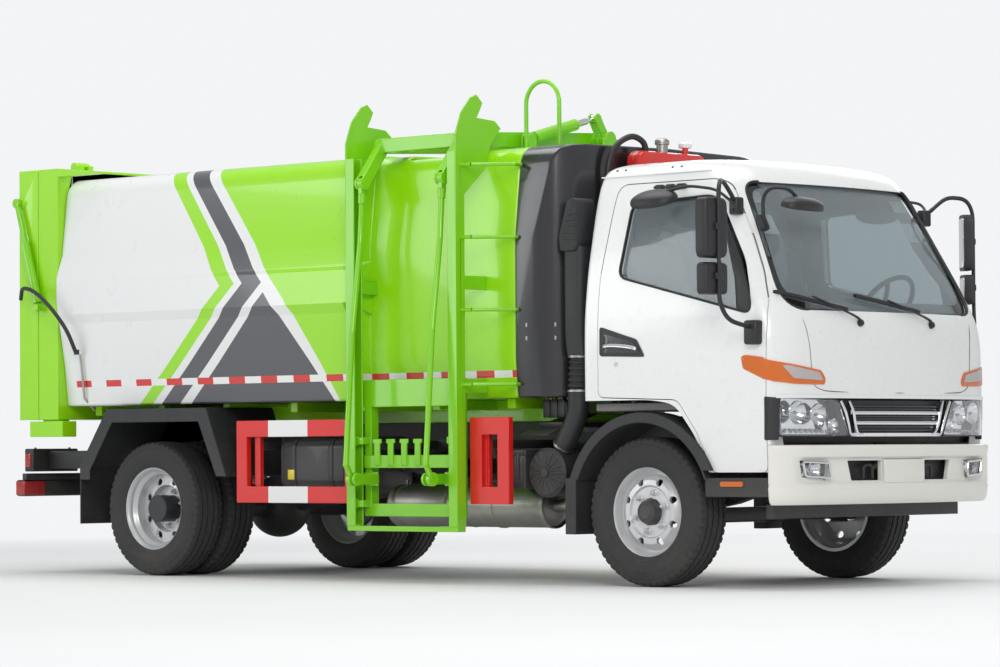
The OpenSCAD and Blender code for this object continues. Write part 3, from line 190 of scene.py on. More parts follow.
def plasticOf(name, colour, rough=0.5, grain=420.0, depth=0.0009, dirt=0.15):
    # moulded plastic: fine pebble grain
    sheet = startMaterial(name)
    pebble = put(sheet, "ShaderNodeTexVoronoi", {"Vector": sheet.where, "Scale": grain}).outputs["Distance"]
    cloud = noiseOf(sheet, 5.0)
    tone = blendColour(sheet, cloud, rgba(colour, 0.8), rgba(colour, 1.2))
    feed(sheet, {"Base Color": roadDirt(sheet, tone, dirt),
        "Roughness": spread(sheet, cloud, 0.3, 0.7, rough * 0.88, rough * 1.12)})
    return bumpOf(sheet, pebble, 0.3, depth)


def metalOf(name, colour, rough=0.25, grain=0.35, dirt=0.1, stretch=(1.0, 1.0, 1.0)):
    # bare or plated metal: fine drawn scratches and slight tarnish
    sheet = startMaterial(name)
    drawn = put(sheet, "ShaderNodeMapping", {"Vector": sheet.where, "Scale": stretch}).outputs["Vector"]
    scratch = noiseOf(sheet, 120.0, 4.0, 0.7, drawn)
    tarnish = spread(sheet, noiseOf(sheet, 9.0, 5.0), 0.4, 0.75)
    tone = blendColour(sheet, times(sheet, tarnish, grain), rgba(colour), rgba(colour, 0.62))
    feed(sheet, {"Base Color": roadDirt(sheet, tone, dirt), "Metallic": 1.0,
        "Roughness": spread(sheet, scratch, 0.3, 0.7, rough * 0.7, rough * 1.4)})
    return bumpOf(sheet, scratch, 0.12, 0.0005)


def lensOf(name, colour, rough=0.08, clear=0.9, ribs=0.0):
    # moulded lamp lens with fine flutes inside
    sheet = startMaterial(name)
    tone = blendColour(sheet, noiseOf(sheet, 60.0, 2.0), rgba(colour, 0.92), rgba(colour))
    feed(sheet, {"Base Color": tone, "Roughness": rough, "Transmission Weight": clear, "IOR": 1.45,
        "Coat Weight": 0.6})
    return bumpOf(sheet, waveOf(sheet, "Z", ribs), 0.5, 0.002) if ribs else sheet.material


def glassOf(name, tint, rough=0.01):
    # window glass: a cool tint and the thinnest film of dust
    sheet = startMaterial(name)
    dust = spread(sheet, noiseOf(sheet, 5.5, 6.0), 0.52, 0.85, 0.0, 0.05)
    feed(sheet, {"Base Color": blendColour(sheet, dust, rgba(tint), rgba((0.78, 0.78, 0.75))),
        "Roughness": spread(sheet, noiseOf(sheet, 30.0), 0.4, 0.8, rough, rough + 0.04),
        "Transmission Weight": 0.84, "IOR": 1.42})
    return sheet.material


def rubberOf(name, colour, rough=0.72):
    # carbon-black rubber: dusty bloom, moulded grain
    sheet = startMaterial(name)
    bloom = spread(sheet, noiseOf(sheet, 6.5, 6.0), 0.38, 0.75)
    tone = blendColour(sheet, times(sheet, bloom, 0.55), rgba(colour), rgba(colour, 2.1))
    feed(sheet, {"Base Color": roadDirt(sheet, tone, 0.2, 0.75),
        "Roughness": spread(sheet, bloom, 0.0, 1.0, rough * 0.9, min(1.0, rough * 1.12))})
    return bumpOf(sheet, noiseOf(sheet, 260.0, 3.0), 0.3, 0.0008)


def clothOf(name, colour):
    # woven seat cloth: crossed threads from two sine waves
    sheet = startMaterial(name)
    weave = times(sheet, waveOf(sheet, "X", 160.0, 0.4), waveOf(sheet, "Z", 160.0, 0.4))
    feed(sheet, {"Base Color": blendColour(sheet, weave, rgba(colour, 0.6), rgba(colour, 1.25)),
        "Roughness": 0.9, "Sheen Weight": 0.3})
    return bumpOf(sheet, weave, 0.5, 0.0015)


palette = {
    "white": (0.78, 0.79, 0.785), "lime": (0.31, 0.72, 0.003), "liftGreen": (0.21, 0.6, 0.004),
    "slate": (0.075, 0.078, 0.09), "black": (0.012, 0.012, 0.014), "red": (0.72, 0.012, 0.008),
    "oilRed": (0.62, 0.02, 0.012), "bumper": (0.76, 0.75, 0.7), "rim": (0.62, 0.625, 0.635),
    "tape": (0.63, 0.02, 0.015), "tapeWhite": (0.8, 0.8, 0.79), "primer": ((0.13, 0.125, 0.115),
        (0.24, 0.235, 0.22)),
    "head": (0.016, 0.016, 0.019), "chassis": (0.02, 0.021, 0.023), "tank": (0.03, 0.031, 0.034),
}
# edges of the side graphic as (x, z) at the foot, at the bend and at the top
graphic = {
    "limeStripe": (((-3.92, 1.24), (-3.27, 1.79), (-3.83, 2.5)),
                   ((-3.8, 1.24), (-3.14, 1.8), (-3.71, 2.5))),
    "slateStripe": (((-3.72, 1.24), (-3.07, 1.8), (-3.65, 2.5)), ((-3.55, 1.24), (-2.9, 1.8), (-3.5, 2.5))),
    "limeField": ((-2.43, 1.24), (-2.71, 1.69), (-3.4, 2.5)),
    "triangle": ((-3.45, 1.24), (-2.885, 1.74), (-2.5, 1.24)),
    "band": {"from": -4.7, "to": -0.91, "step": 0.142, "low": 1.19, "high": 1.232},
}


def bodyPaintOf(name, colours, marks):
    # the side graphic: each edge is the smaller of two straight lines x(z) that meet at the bend
    sheet = startMaterial(name)
    axes = axesOf(sheet)
    along = calc(sheet, "SUBTRACT", axes["X"], axleX)
    height = axes["Z"]

    def line(low, high):
        slope = (high[0] - low[0]) / (high[1] - low[1])
        return calc(sheet, "ADD", times(sheet, height, slope), low[0] - slope * low[1])

    def edge(bottom, bend, top):
        return calc(sheet, "MINIMUM", line(bend, top), line(bottom, bend))

    def between(value, low, high):
        return times(sheet, above(sheet, value, low), below(sheet, value, high))

    rear, peak, front = marks["triangle"]
    triangle = times(sheet, between(along, line(rear, peak), line(front, peak)),
        below(sheet, height, peak[1]))
    cloud = noiseOf(sheet, 1.4, 5.0)
    lime = blendColour(sheet, cloud, rgba(colours["lime"], 0.96), rgba(colours["lime"]))
    tone = blendColour(sheet, cloud, rgba(colours["white"], 0.975), rgba(colours["white"]))
    fields = ((above(sheet, along, edge(*marks["limeField"])), lime),
        (between(along, *[edge(*side) for side in marks["limeStripe"]]), lime),
        (between(along, *[edge(*side) for side in marks["slateStripe"]]), rgba(colours["slate"])),
        (triangle, rgba(colours["slate"])))
    for field, colour in fields:
        tone = blendColour(sheet, field, tone, colour)
    # marker band: red and white blocks in turn along the foot of the side
    band = marks["band"]
    turn = calc(sheet, "FRACT", calc(sheet, "DIVIDE", calc(sheet, "SUBTRACT", along, band["from"]),
        2 * band["step"]))
    blocks = blendColour(sheet, below(sheet, turn, 0.5), rgba(colours["tapeWhite"]), rgba(colours["tape"]))
    inBand = times(sheet, between(along, band["from"], band["to"]),
        between(height, band["low"], band["high"]))
    tone = roadDirt(sheet, blendColour(sheet, inBand, tone, blocks), 0.04, 1.3)
    # the inner faces point back toward the middle of the body and are worn primer
    facing = axesOf(sheet, put(sheet, "ShaderNodeNewGeometry").outputs["True Normal"])
    outward = calc(sheet, "ADD", times(sheet, facing["Y"], axes["Y"]),
        times(sheet, facing["Z"], calc(sheet, "SUBTRACT", height, 1.85)))
    wear = blendColour(sheet, noiseOf(sheet, 5.0, 6.0), *[rgba(colour) for colour in colours["primer"]])
    feed(sheet, {"Base Color": blendColour(sheet, below(sheet, outward, -0.02), tone, wear),
        "Coat Weight": 0.5, "Coat Roughness": 0.07, "Roughness": spread(sheet, noiseOf(sheet, 8.0, 1.5),
        0.2, 0.8, 0.26, 0.33)})
    return bumpOf(sheet, noiseOf(sheet, 2.0, 1.0), 0.2, 0.008)


def guardPaintOf(name, colours, whiteSpan):
    # red rails with one white field between two places along the truck
    sheet = startMaterial(name)
    along = calc(sheet, "SUBTRACT", axesOf(sheet)["X"], axleX)
    field = times(sheet, above(sheet, along, whiteSpan[0]), below(sheet, along, whiteSpan[1]))
    cloud = noiseOf(sheet, 4.0)
    red = blendColour(sheet, cloud, rgba(colours["red"], 0.85), rgba(colours["red"]))
    tone = roadDirt(sheet, blendColour(sheet, field, red, rgba(colours["white"])), 0.12)
    feed(sheet, {"Base Color": tone, "Roughness": spread(sheet, cloud, 0.3, 0.7, 0.3, 0.42),
        "Coat Weight": 0.3})
    return bumpOf(sheet, noiseOf(sheet, 180.0, 2.0), 0.3, 0.0006)


whitePaint = paintOf("cab white", palette["white"], 0.28, 0.5, 0.02, ripple=0.0002, mottled=0.012)
bumperPaint = paintOf("bumper white", palette["bumper"], 0.36, 0.35, 0.08, ripple=0.0003, mottled=0.015)
liftPaint = paintOf("lift green", palette["liftGreen"], 0.32, 0.45, 0.1)
framePaint = paintOf("frame green", palette["lime"], 0.32, 0.45, 0.1)
bodyPaint = bodyPaintOf("body graphic", palette, graphic)
headPaint = paintOf("head black", palette["head"], 0.24, 0.6, 0.06)
chassisPaint = paintOf("chassis black", palette["chassis"], 0.5, 0.1, 0.3, 1.3)
guardPaint = guardPaintOf("guard red", palette, (-2.86, -2.52))
oilPaint = paintOf("oil tank red", palette["oilRed"], 0.3, 0.5, 0.08)
rimPaint = paintOf("wheel silver", palette["rim"], 0.36, 0.3, 0.14, 1.0, metal=0.45)
tankPaint = paintOf("tank dark", palette["tank"], 0.45, 0.15, 0.3, 1.2)
castIron = metalOf("cast iron", (0.12, 0.12, 0.125), 0.6, 0.5, 0.5)
steel = metalOf("bare steel", (0.42, 0.41, 0.39), 0.38, 0.4, 0.25, (1, 14, 14))
chrome = metalOf("chrome", (0.74, 0.75, 0.77), 0.12, 0.12, 0.04)
rodChrome = metalOf("rod chrome", (0.72, 0.73, 0.75), 0.14, 0.1, 0.02)
brass = metalOf("brass", (0.62, 0.47, 0.2), 0.3, 0.4, 0.15)
reflector = metalOf("lamp reflector", (0.86, 0.87, 0.88), 0.08, 0.05, 0.0)
mirrorGlass = metalOf("mirror glass", (0.8, 0.82, 0.84), 0.03, 0.02, 0.0)
trimBlack = plasticOf("trim black", (0.016, 0.016, 0.018), 0.46)
guardBlack = plasticOf("mudguard black", palette["chassis"], 0.55, 300.0, 0.0012, 0.35)
dashPlastic = plasticOf("dash grey", (0.085, 0.083, 0.08), 0.6)
trimGrey = plasticOf("cab lining", (0.2, 0.195, 0.19), 0.75, 300.0, 0.0008, 0.0)
gloss = paintOf("gloss black", palette["black"], 0.12, 0.5, 0.02)
labelYellow = paintOf("yellow label", (0.75, 0.6, 0.02), 0.4, 0.2, 0.05)
# black seal rubber; the same material paints the shade along the nose lid's shut line
sealRubberAndShutShade = rubberOf("seal rubber and shut line shade", (0.014, 0.014, 0.015), 0.6)
tyreRubber = rubberOf("tyre rubber", (0.021, 0.021, 0.022), 0.78)
hoseRubber = rubberOf("hose rubber", (0.015, 0.015, 0.016), 0.5)
windowGlass = glassOf("window glass", (0.66, 0.75, 0.78))
orangeLens = lensOf("orange lens", (0.95, 0.2, 0.012), 0.12, 0.25, 130.0)
clearLens = lensOf("clear lens", (0.93, 0.94, 0.96), 0.03, 0.97)
whiteLens = lensOf("white lens", (0.86, 0.87, 0.88), 0.2, 0.45, 150.0)
redLens = lensOf("red lens", (0.62, 0.012, 0.01), 0.15, 0.3, 140.0)
seatCloth = clothOf("seat cloth", (0.13, 0.135, 0.15))
print("materials made")


# mesh helpers; places are given from the front axle and moved into the frame at the end

def gridQuads(rows, columns, wrapRows=False, wrapColumns=False):
    i, j = np.meshgrid(np.arange(rows if wrapRows else rows - 1),
        np.arange(columns if wrapColumns else columns - 1), indexing="ij")
    i2, j2 = (i + 1) % rows, (j + 1) % columns
    return np.stack([i * columns + j, i * columns + j2, i2 * columns + j2, i2 * columns + j],
        -1).reshape(-1, 4)


def cappedQuads(rows, columns):
    # rings of quads with a face over each end
    ends = [list(range(columns))[::-1], list(range((rows - 1) * columns, rows * columns))]
    return gridQuads(rows, columns, wrapColumns=True).tolist() + ends


def signedArea(outline):
    # positive when the outline runs counter-clockwise
    following = np.roll(outline, -1, 0)
    return np.sum(outline[:, 0] * following[:, 1] - following[:, 0] * outline[:, 1])


def joined(*parts):
    points, faces, start = [], [], 0
    for partPoints, partFaces in parts:
        points.append(np.asarray(partPoints, float).reshape(-1, 3))
        faces += [[start + k for k in face] for face in partFaces]
        start += len(points[-1])
    return np.vstack(points), faces


def mirroredPart(part):
    points, faces = part
    return points * [1, -1, 1], [face[::-1] for face in faces]


def unchanged(part):
    return part


sides = (("right", "Right", unchanged), ("left", "Left", mirroredPart))


def moved(part, offset):
    return part[0] + np.asarray(offset, float), part[1]


def turned(part, centre, axis, angle):
    # turn about an axis through a centre, by the right-hand rule
    matrix = np.array(Matrix.Rotation(angle, 3, axis))
    return (part[0] - centre) @ matrix.T + centre, part[1]


def meshOf(name, part, outward=True):
    points, faces = part
    points = points + [axleX, 0, 0]
    mesh = bpy.data.meshes.new(name)
    mesh.from_pydata(points.tolist(), [], faces)
    mesh.update()
    if outward:
        work = bmesh.new()
        work.from_mesh(mesh)
        bmesh.ops.recalc_face_normals(work, faces=work.faces)
        work.to_mesh(mesh)
        work.free()
    return mesh


def finishMesh(mesh, material, smoothAngle):
    mesh.materials.clear()
    mesh.materials.append(material)
    mesh.polygons.foreach_set("use_smooth", np.ones(len(mesh.polygons), bool))
    mesh.polygons.foreach_set("material_index", np.zeros(len(mesh.polygons), int))
    mesh.set_sharp_from_angle(angle=math.radians(smoothAngle))
    mesh.update()


def addObject(name, mesh, material, body, smoothAngle=34, replaces=()):
    finishMesh(mesh, material, smoothAngle)
    piece = bpy.data.objects.new(name, mesh)
    bpy.context.scene.collection.objects.link(piece)
    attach(piece, body)
    if replaces:
        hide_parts(*replaces)
    return piece


def addPiece(name, part, material, body="truck", smoothAngle=34, replaces=()):
    return addObject(name, meshOf(name, part), material, body, smoothAngle, replaces)


def bevelled(piece, width, segments=2, angle=32):
    modifier = piece.modifiers.new("soft edges", "BEVEL")
    modifier.width = width
    modifier.segments = segments
    modifier.limit_method = "ANGLE"
    modifier.angle_limit = math.radians(angle)
    modifier.use_clamp_overlap = False
    return piece


def carved(name, part, cutters, common=()):
    # boolean of a closed mesh: what it shares with the common parts, less the cutters
    base = bpy.data.objects.new(name + "Base", meshOf(name, part))
    bpy.context.scene.collection.objects.link(base)
    tools = []
    for cutter, operation in [(tool, "INTERSECT") for tool in common] + [(tool, "DIFFERENCE")
            for tool in cutters]:
        tool = bpy.data.objects.new(name + "Tool", meshOf(name + "Tool", cutter))
        bpy.context.scene.collection.objects.link(tool)
        modifier = base.modifiers.new("cut", "BOOLEAN")
        modifier.operation = operation
        modifier.object = tool
        modifier.solver = "EXACT"
        tools.append(tool)
    bpy.context.view_layer.update()
    result = bpy.data.meshes.new_from_object(base.evaluated_get(bpy.context.evaluated_depsgraph_get()))
    for spare in [base, *tools]:
        bpy.data.objects.remove(spare)
    return result


def mirroredMesh(mesh):
    copy = mesh.copy()
    copy.transform(Matrix.Diagonal((1, -1, 1, 1)))
    copy.flip_normals()
    return copy


def placeX(points):
    return points[:, [2, 0, 1]]           # outline in (y, z), depth along x


def placeY(points):
    return points[:, [0, 2, 1]]           # outline in (x, z), depth along y


def placeZ(points):
    return points                         # outline in (x, y), depth along z


def inwardOf(outline):
    # unit direction into a counter-clockwise outline at each corner, long enough to inset both edges by one
    before = outline - np.roll(outline, 1, 0)
    after = np.roll(outline, -1, 0) - outline
    before /= np.linalg.norm(before, axis=1, keepdims=True) + 1e-12
    after /= np.linalg.norm(after, axis=1, keepdims=True) + 1e-12
    normalA = np.c_[-before[:, 1], before[:, 0]]
    normalB = np.c_[-after[:, 1], after[:, 0]]
    middle = normalA + normalB
    middle /= np.linalg.norm(middle, axis=1, keepdims=True) + 1e-12
    return middle / np.maximum(0.35, np.sum(middle * normalA, axis=1, keepdims=True))


def slabOf(outline, near, far, place=placeZ, edge=0.0, steps=2):
    # outline carried from near to far; at both ends it draws in along a quarter circle of radius edge
    outline = np.asarray(outline, float)
    if signedArea(outline) < 0:
        outline = outline[::-1].copy()
    inward = inwardOf(outline)
    if edge > 0:
        t = np.linspace(0, math.pi / 2, steps + 1)
        sign = 1 if far > near else -1
        insets = np.r_[edge * (1 - np.sin(t)), edge * (1 - np.sin(t[::-1]))]
        depths = np.r_[near + sign * edge * (1 - np.cos(t)), far - sign * edge * (1 - np.cos(t[::-1]))]
    else:
        insets, depths = np.zeros(2), np.array([near, far])
    rings = outline[None] + inward[None] * insets[:, None, None]
    points = np.concatenate([rings, np.repeat(depths[:, None, None], len(outline), 1)], 2).reshape(-1, 3)
    return place(points), cappedQuads(len(insets), len(outline))


def roundedRect(low, high, radius, steps=4):
    # rectangle whose corners are quarter circles
    t = np.linspace(0, math.pi / 2, steps + 1)
    corners = []
    for cx, cy, start in ((high[0] - radius, high[1] - radius, 0), (low[0] + radius, high[1] - radius, 1),
            (low[0] + radius, low[1] + radius, 2), (high[0] - radius, low[1] + radius, 3)):
        a = t + start * math.pi / 2
        corners.append(np.c_[cx + radius * np.cos(a), cy + radius * np.sin(a)])
    return np.vstack(corners)


def barSection(halfWidth, halfHeight, radius, steps=4):
    return roundedRect((-halfWidth, -halfHeight), (halfWidth, halfHeight), radius, steps)


def roundedShape(corners, radius, steps=4):
    # polygon whose corners are replaced by quadratic curves that start a radius before and end a radius after
    corners = np.asarray(corners, float)
    radii = np.broadcast_to(radius, (len(corners),))
    before, after = np.roll(corners, 1, 0) - corners, np.roll(corners, -1, 0) - corners
    lengthA, lengthB = np.linalg.norm(before, axis=1), np.linalg.norm(after, axis=1)
    a = corners + before * np.minimum(radii / lengthA, 0.49)[:, None]
    b = corners + after * np.minimum(radii / lengthB, 0.49)[:, None]
    t = np.linspace(0, 1, steps + 1)[None, :, None]
    curve = (1 - t) ** 2 * a[:, None] + 2 * t * (1 - t) * corners[:, None] + t ** 2 * b[:, None]
    return curve.reshape(-1, 2)


def boxOf(low, high, edge=0.004, corner=None):
    corner = edge if corner is None else corner
    outline = roundedRect(low[:2], high[:2], max(corner, 1e-4), 3)
    return slabOf(outline, low[2], high[2], placeZ, edge)


def smoothPath(points, count):
    # Catmull-Rom curve through the points, sampled evenly in parameter
    points = np.asarray(points, float)
    padded = np.vstack([2 * points[0] - points[1], points, 2 * points[-1] - points[-2]])
    s = np.linspace(0, len(points) - 1 - 1e-9, count)
    k = s.astype(int)
    t = (s - k)[:, None]
    p0, p1, p2, p3 = (padded[k + d] for d in range(4))
    return 0.5 * (2 * p1 + (p2 - p0) * t + (2 * p0 - 5 * p1 + 4 * p2 - p3) * t ** 2
        + (3 * p1 - p0 - 3 * p2 + p3) * t ** 3)


def sweepOf(path, profile, scales=None, closed=False):
    # profile in the plane across the path, carried along it without twist; open ends are closed with a face
    path = np.asarray(path, float)
    n = len(path)
    if closed:
        tangents = np.roll(path, -1, 0) - np.roll(path, 1, 0)
    else:
        tangents = np.gradient(path, axis=0)
    tangents /= np.linalg.norm(tangents, axis=1, keepdims=True)
    start = np.array([0, 0, 1.0]) if abs(tangents[0, 2]) < 0.9 else np.array([1.0, 0, 0])
    sides = np.zeros((n, 3))
    side = np.cross(tangents[0], start)
    for k in range(n):
        side = side - tangents[k] * (side @ tangents[k])
        side /= np.linalg.norm(side)
        sides[k] = side
    ups = np.cross(sides, tangents)
    scales = np.ones(n) if scales is None else np.asarray(scales, float)
    profile = np.asarray(profile, float)
    points = (path[:, None] + sides[:, None] * profile[None, :, :1] * scales[:, None, None] + ups[:, None]
        * profile[None, :, 1:] * scales[:, None, None])
    m = len(profile)
    faces = gridQuads(n, m, wrapRows=True, wrapColumns=True).tolist() if closed else cappedQuads(n, m)
    return points.reshape(-1, 3), faces


def circleOf(radius, count=12):
    a = np.arange(count) * 2 * math.pi / count
    return np.c_[radius * np.cos(a), radius * np.sin(a)]


def tubeOf(path, radius, count=12, samples=None):
    path = smoothPath(path, samples) if samples else np.asarray(path, float)
    return sweepOf(path, circleOf(radius, count))


def filletPath(points, radius, steps=6):
    # straight runs joined by quadratic bends that start a radius before each corner
    points = np.asarray(points, float)
    out = [points[0]]
    for k in range(1, len(points) - 1):
        a, c, b = points[k - 1], points[k], points[k + 1]
        ra = min(radius, 0.45 * np.linalg.norm(a - c))
        rb = min(radius, 0.45 * np.linalg.norm(b - c))
        p = c + (a - c) / np.linalg.norm(a - c) * ra
        q = c + (b - c) / np.linalg.norm(b - c) * rb
        t = np.linspace(0, 1, steps + 1)[:, None]
        out += list((1 - t) ** 2 * p + 2 * t * (1 - t) * c + t ** 2 * q)
    out.append(points[-1])
    return np.array(out)


def latheOf(profile, centre, axis, count=48, wave=None):
    # profile of (radius, distance along the axis) turned about the axis; ends on the axis close with a fan
    profile = np.asarray(profile, float)
    axis = np.asarray(axis, float) / np.linalg.norm(axis)
    helper = np.array([0, 0, 1.0]) if abs(axis[2]) < 0.9 else np.array([1.0, 0, 0])
    u = np.cross(helper, axis)
    u /= np.linalg.norm(u)
    v = np.cross(axis, u)
    angle = np.arange(count) * 2 * math.pi / count
    radius = profile[:, 0][:, None] * np.ones(count)[None]
    shift = profile[:, 1][:, None] * np.ones(count)[None]
    if wave is not None:
        radius, shift = wave(radius, shift, angle[None])
    points = (np.asarray(centre, float) + radius[..., None]
        * (np.cos(angle)[None, :, None] * u + np.sin(angle)[None, :, None] * v) + shift[..., None] * axis)
    n = len(profile)
    if np.allclose(profile[0], profile[-1]):
        return points[:-1].reshape(-1, 3), gridQuads(n - 1, count, wrapRows=True, wrapColumns=True).tolist()
    return points.reshape(-1, 3), cappedQuads(n, count)


def fluted(count, depth, beyond):
    # wave for a lathe: the radius swells with a cosine round the rim, only beyond a radius
    def wave(radius, shift, angle):
        return radius * (1 + depth * np.cos(count * angle) * (radius > beyond)), shift
    return wave


def rodOf(radius, low, high, centre, axis, count=20):
    # plain round or many-sided rod between two distances along the axis
    return latheOf([(0.001, low), (radius, low), (radius, high), (0.001, high)], centre, axis, count)


def studsOf(places, axis, radius, height, sides=6, dome=0.35):
    # bolt heads: a prism with a chamfered top at each place
    profile = [(radius, 0), (radius, height * (1 - dome)), (radius * 0.72, height)]
    return joined(*[latheOf(profile, place, axis, sides) for place in places])


def blobOf(centre, halves, power=0.5, rows=20, columns=32):
    # superellipsoid: each of cos and sin is raised to a power, so it goes from a ball to a soft box
    lat = np.linspace(-math.pi / 2, math.pi / 2, rows)[:, None]
    lon = (np.arange(columns) * 2 * math.pi / columns)[None]

    def bent(value):
        return np.sign(value) * np.abs(value) ** power

    x = halves[0] * bent(np.cos(lat)) * bent(np.cos(lon))
    y = halves[1] * bent(np.cos(lat)) * bent(np.sin(lon))
    z = halves[2] * bent(np.sin(lat)) * np.ones_like(lon)
    points = (np.stack([x, y, z], -1) + np.asarray(centre, float))
    ring = points[1:-1].reshape(-1, 3)
    faces = gridQuads(rows - 2, columns, wrapColumns=True).tolist()
    south, north = len(ring), len(ring) + 1
    last = (rows - 3) * columns
    faces += [[south, (k + 1) % columns, k] for k in range(columns)]
    faces += [[north, last + k, last + (k + 1) % columns] for k in range(columns)]
    return np.vstack([ring, points[0, 0], points[-1, 0]]), faces


def skinNode(node, material, width):
    # merged copy of a CAD node with softened edges; it stands for the node
    mesh = frame["nodes"][node].data.copy()
    work = bmesh.new()
    work.from_mesh(mesh)
    bmesh.ops.remove_doubles(work, verts=work.verts, dist=2e-5)
    bmesh.ops.dissolve_limit(work, angle_limit=math.radians(0.5), verts=work.verts, edges=work.edges)
    work.to_mesh(mesh)
    work.free()
    bevelled(addObject(node + "Finish", mesh, material, bodyOf[node], 34, (node,)), width)


# plain CAD nodes get softened edges and a finish

# finish, edge width and the nodes that have them
nodeFinish = [
    (chassisPaint, 0.003, ("chassis_frame",)), (chassisPaint, 0.004, ("front_axle", "rear_axle")),
    (framePaint, 0.004, ("body_frame", "rear_ring")), (framePaint, 0.005, ("tailgate",)),
    (castIron, 0.012, ("engine",)), (castIron, 0.004, ("knuckle_right", "knuckle_left")),
    (guardBlack, 0.004, ("mudguards",)), (guardPaint, 0.004, ("side_guards",)),
              (bodyPaint, 0.012, ("tank_shell",)),
    (headPaint, 0.01, ("front_head",)), (liftPaint, 0.004, ("swing_arm",)),
              (rodChrome, 0.002, ("lift_rod",)),
    (liftPaint, 0.003, ("lift_rails", "roof_brackets", "tailgate_barrels", "carriage", "lift_barrel")),
    (liftPaint, 0.002, ("tailgate_rods", "pull_rods")), (trimBlack, 0.003, ("steering_wheel",)),
]
rearHubX = (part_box("tyres_rear_right")[0].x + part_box("tyres_rear_right")[1].x) / 2


def hubbedPaint(name, base, hubX, hubRadius):
    # wheel paint with a dark hub: the distance from the axle's line decides
    material = base.copy()
    material.name = name
    sheet = SimpleNamespace(tree=material.node_tree, shader=material.node_tree.nodes["Principled BSDF"])
    paint = sheet.shader.inputs["Base Color"].links[0].from_socket
    spot = axesOf(sheet, put(sheet, "ShaderNodeTexCoord").outputs["Object"])
    across = calc(sheet, "SUBTRACT", spot["X"], hubX)
    upward = calc(sheet, "SUBTRACT", spot["Z"], axleZ)
    distance = calc(sheet, "SQRT", calc(sheet, "ADD", times(sheet, across, across),
        times(sheet, upward, upward)))
    dark = rgba((0.03, 0.03, 0.033))
    feed(sheet, {"Base Color": blendColour(sheet, below(sheet, distance, hubRadius), paint, dark)})
    return material


rearRimPaint = hubbedPaint("rear wheel silver", rimPaint, rearHubX, 0.098)
nodeFinish.append((rearRimPaint, 0.003, ("rims_rear_right", "rims_rear_left")))
for finish, width, nodes in nodeFinish:
    for node in nodes:
        skinNode(node, finish, width)
print("plain nodes finished")


# light and floor

lightSetup = {
    "world": 0.6, "shown": 0.96, "top": 370, "key": 540, "fill": 250, "back": 270,
    "backdrop": (0.93, 0.945, 0.96, 1), "floor": ((0.8, 0.805, 0.81, 1), (0.84, 0.845, 0.85, 1)),
    "lamps": (("top", (0, 0, 8.5), (0, 0, 1), (9, 5), (1, 1, 1)),
              ("key", (9.5, -9.5, 6.5), (0.5, -0.5, 1.2), (5, 4), (1, 0.985, 0.96)),
              ("fill", (-7.5, -10.5, 4.0), (-0.5, 0, 1.2), (6, 4), (0.97, 0.985, 1)),
              ("back", (-3, 10.5, 6.5), (0, 0, 1.2), (8, 4), (1, 1, 1))),
}


def areaLight(name, place, target, size, watts, colour):
    lamp = bpy.data.lights.new(name, "AREA")
    lamp.shape = "RECTANGLE"
    lamp.size, lamp.size_y = size
    lamp.energy = watts
    lamp.color = colour
    holder = bpy.data.objects.new(name, lamp)
    bpy.context.scene.collection.objects.link(holder)
    aim = np.asarray(target, float) - np.asarray(place, float)
    holder.location = place
    down = np.array([0, 0, -1.0])
    axis = np.cross(down, aim / np.linalg.norm(aim))
    angle = math.atan2(np.linalg.norm(axis), down @ (aim / np.linalg.norm(aim)))
    if np.linalg.norm(axis) > 1e-6:
        holder.rotation_mode = "AXIS_ANGLE"
        holder.rotation_axis_angle = (angle, *(axis / np.linalg.norm(axis)))


def setStage(setup):
    scene = bpy.context.scene
    scene.world = bpy.data.worlds.new("studio")
    scene.world.use_nodes = True
    scene.view_settings.view_transform = "Standard"
    scene.view_settings.look = "None"
    sky = SimpleNamespace(tree=scene.world.node_tree, shader=scene.world.node_tree.nodes["Background"])
    seen = put(sky, "ShaderNodeLightPath").outputs["Is Camera Ray"]
    feed(sky, {"Color": setup["backdrop"], "Strength": spread(sky, seen, 0.0, 1.0, setup["world"],
        setup["shown"])})
    for name, place, target, size, colour in setup["lamps"]:
        areaLight(name, place, target, size, setup[name], colour)
    sheet = startMaterial("studio floor")
    tone = blendColour(sheet, noiseOf(sheet, 0.6, 5.0), *setup["floor"])
    feed(sheet, {"Base Color": tone, "Roughness": 0.75})
    # far from the truck the floor takes the colour of the background
    distance = put(sheet, "ShaderNodeVectorMath", {0: sheet.where}, operation="LENGTH").outputs["Value"]
    plain = put(sheet, "ShaderNodeEmission", {"Color": setup["backdrop"],
        "Strength": setup["shown"]}).outputs[0]
    mixed = put(sheet, "ShaderNodeMixShader", {0: spread(sheet, distance, 6.5, 12.0),
        1: sheet.shader.outputs[0], 2: plain}).outputs[0]
    give(sheet, sheet.tree.nodes["Material Output"].inputs["Surface"], mixed)
    radii = np.r_[0.02, 1, 3, 6, 12, 25, 50, 100, 200, 400]
    part = latheOf(np.c_[radii, np.zeros(len(radii))], (0, 0, 0), (0, 0, 1), 96)
    mesh = meshOf("studioFloor", (part[0], part[1][:-1]), False)
    finishMesh(mesh, sheet.material, 30)
    floor = bpy.data.objects.new("studioFloor", mesh)
    scene.collection.objects.link(floor)


setStage(lightSetup)
print("stage set")


# cab skin: rounded rings stacked up the cab

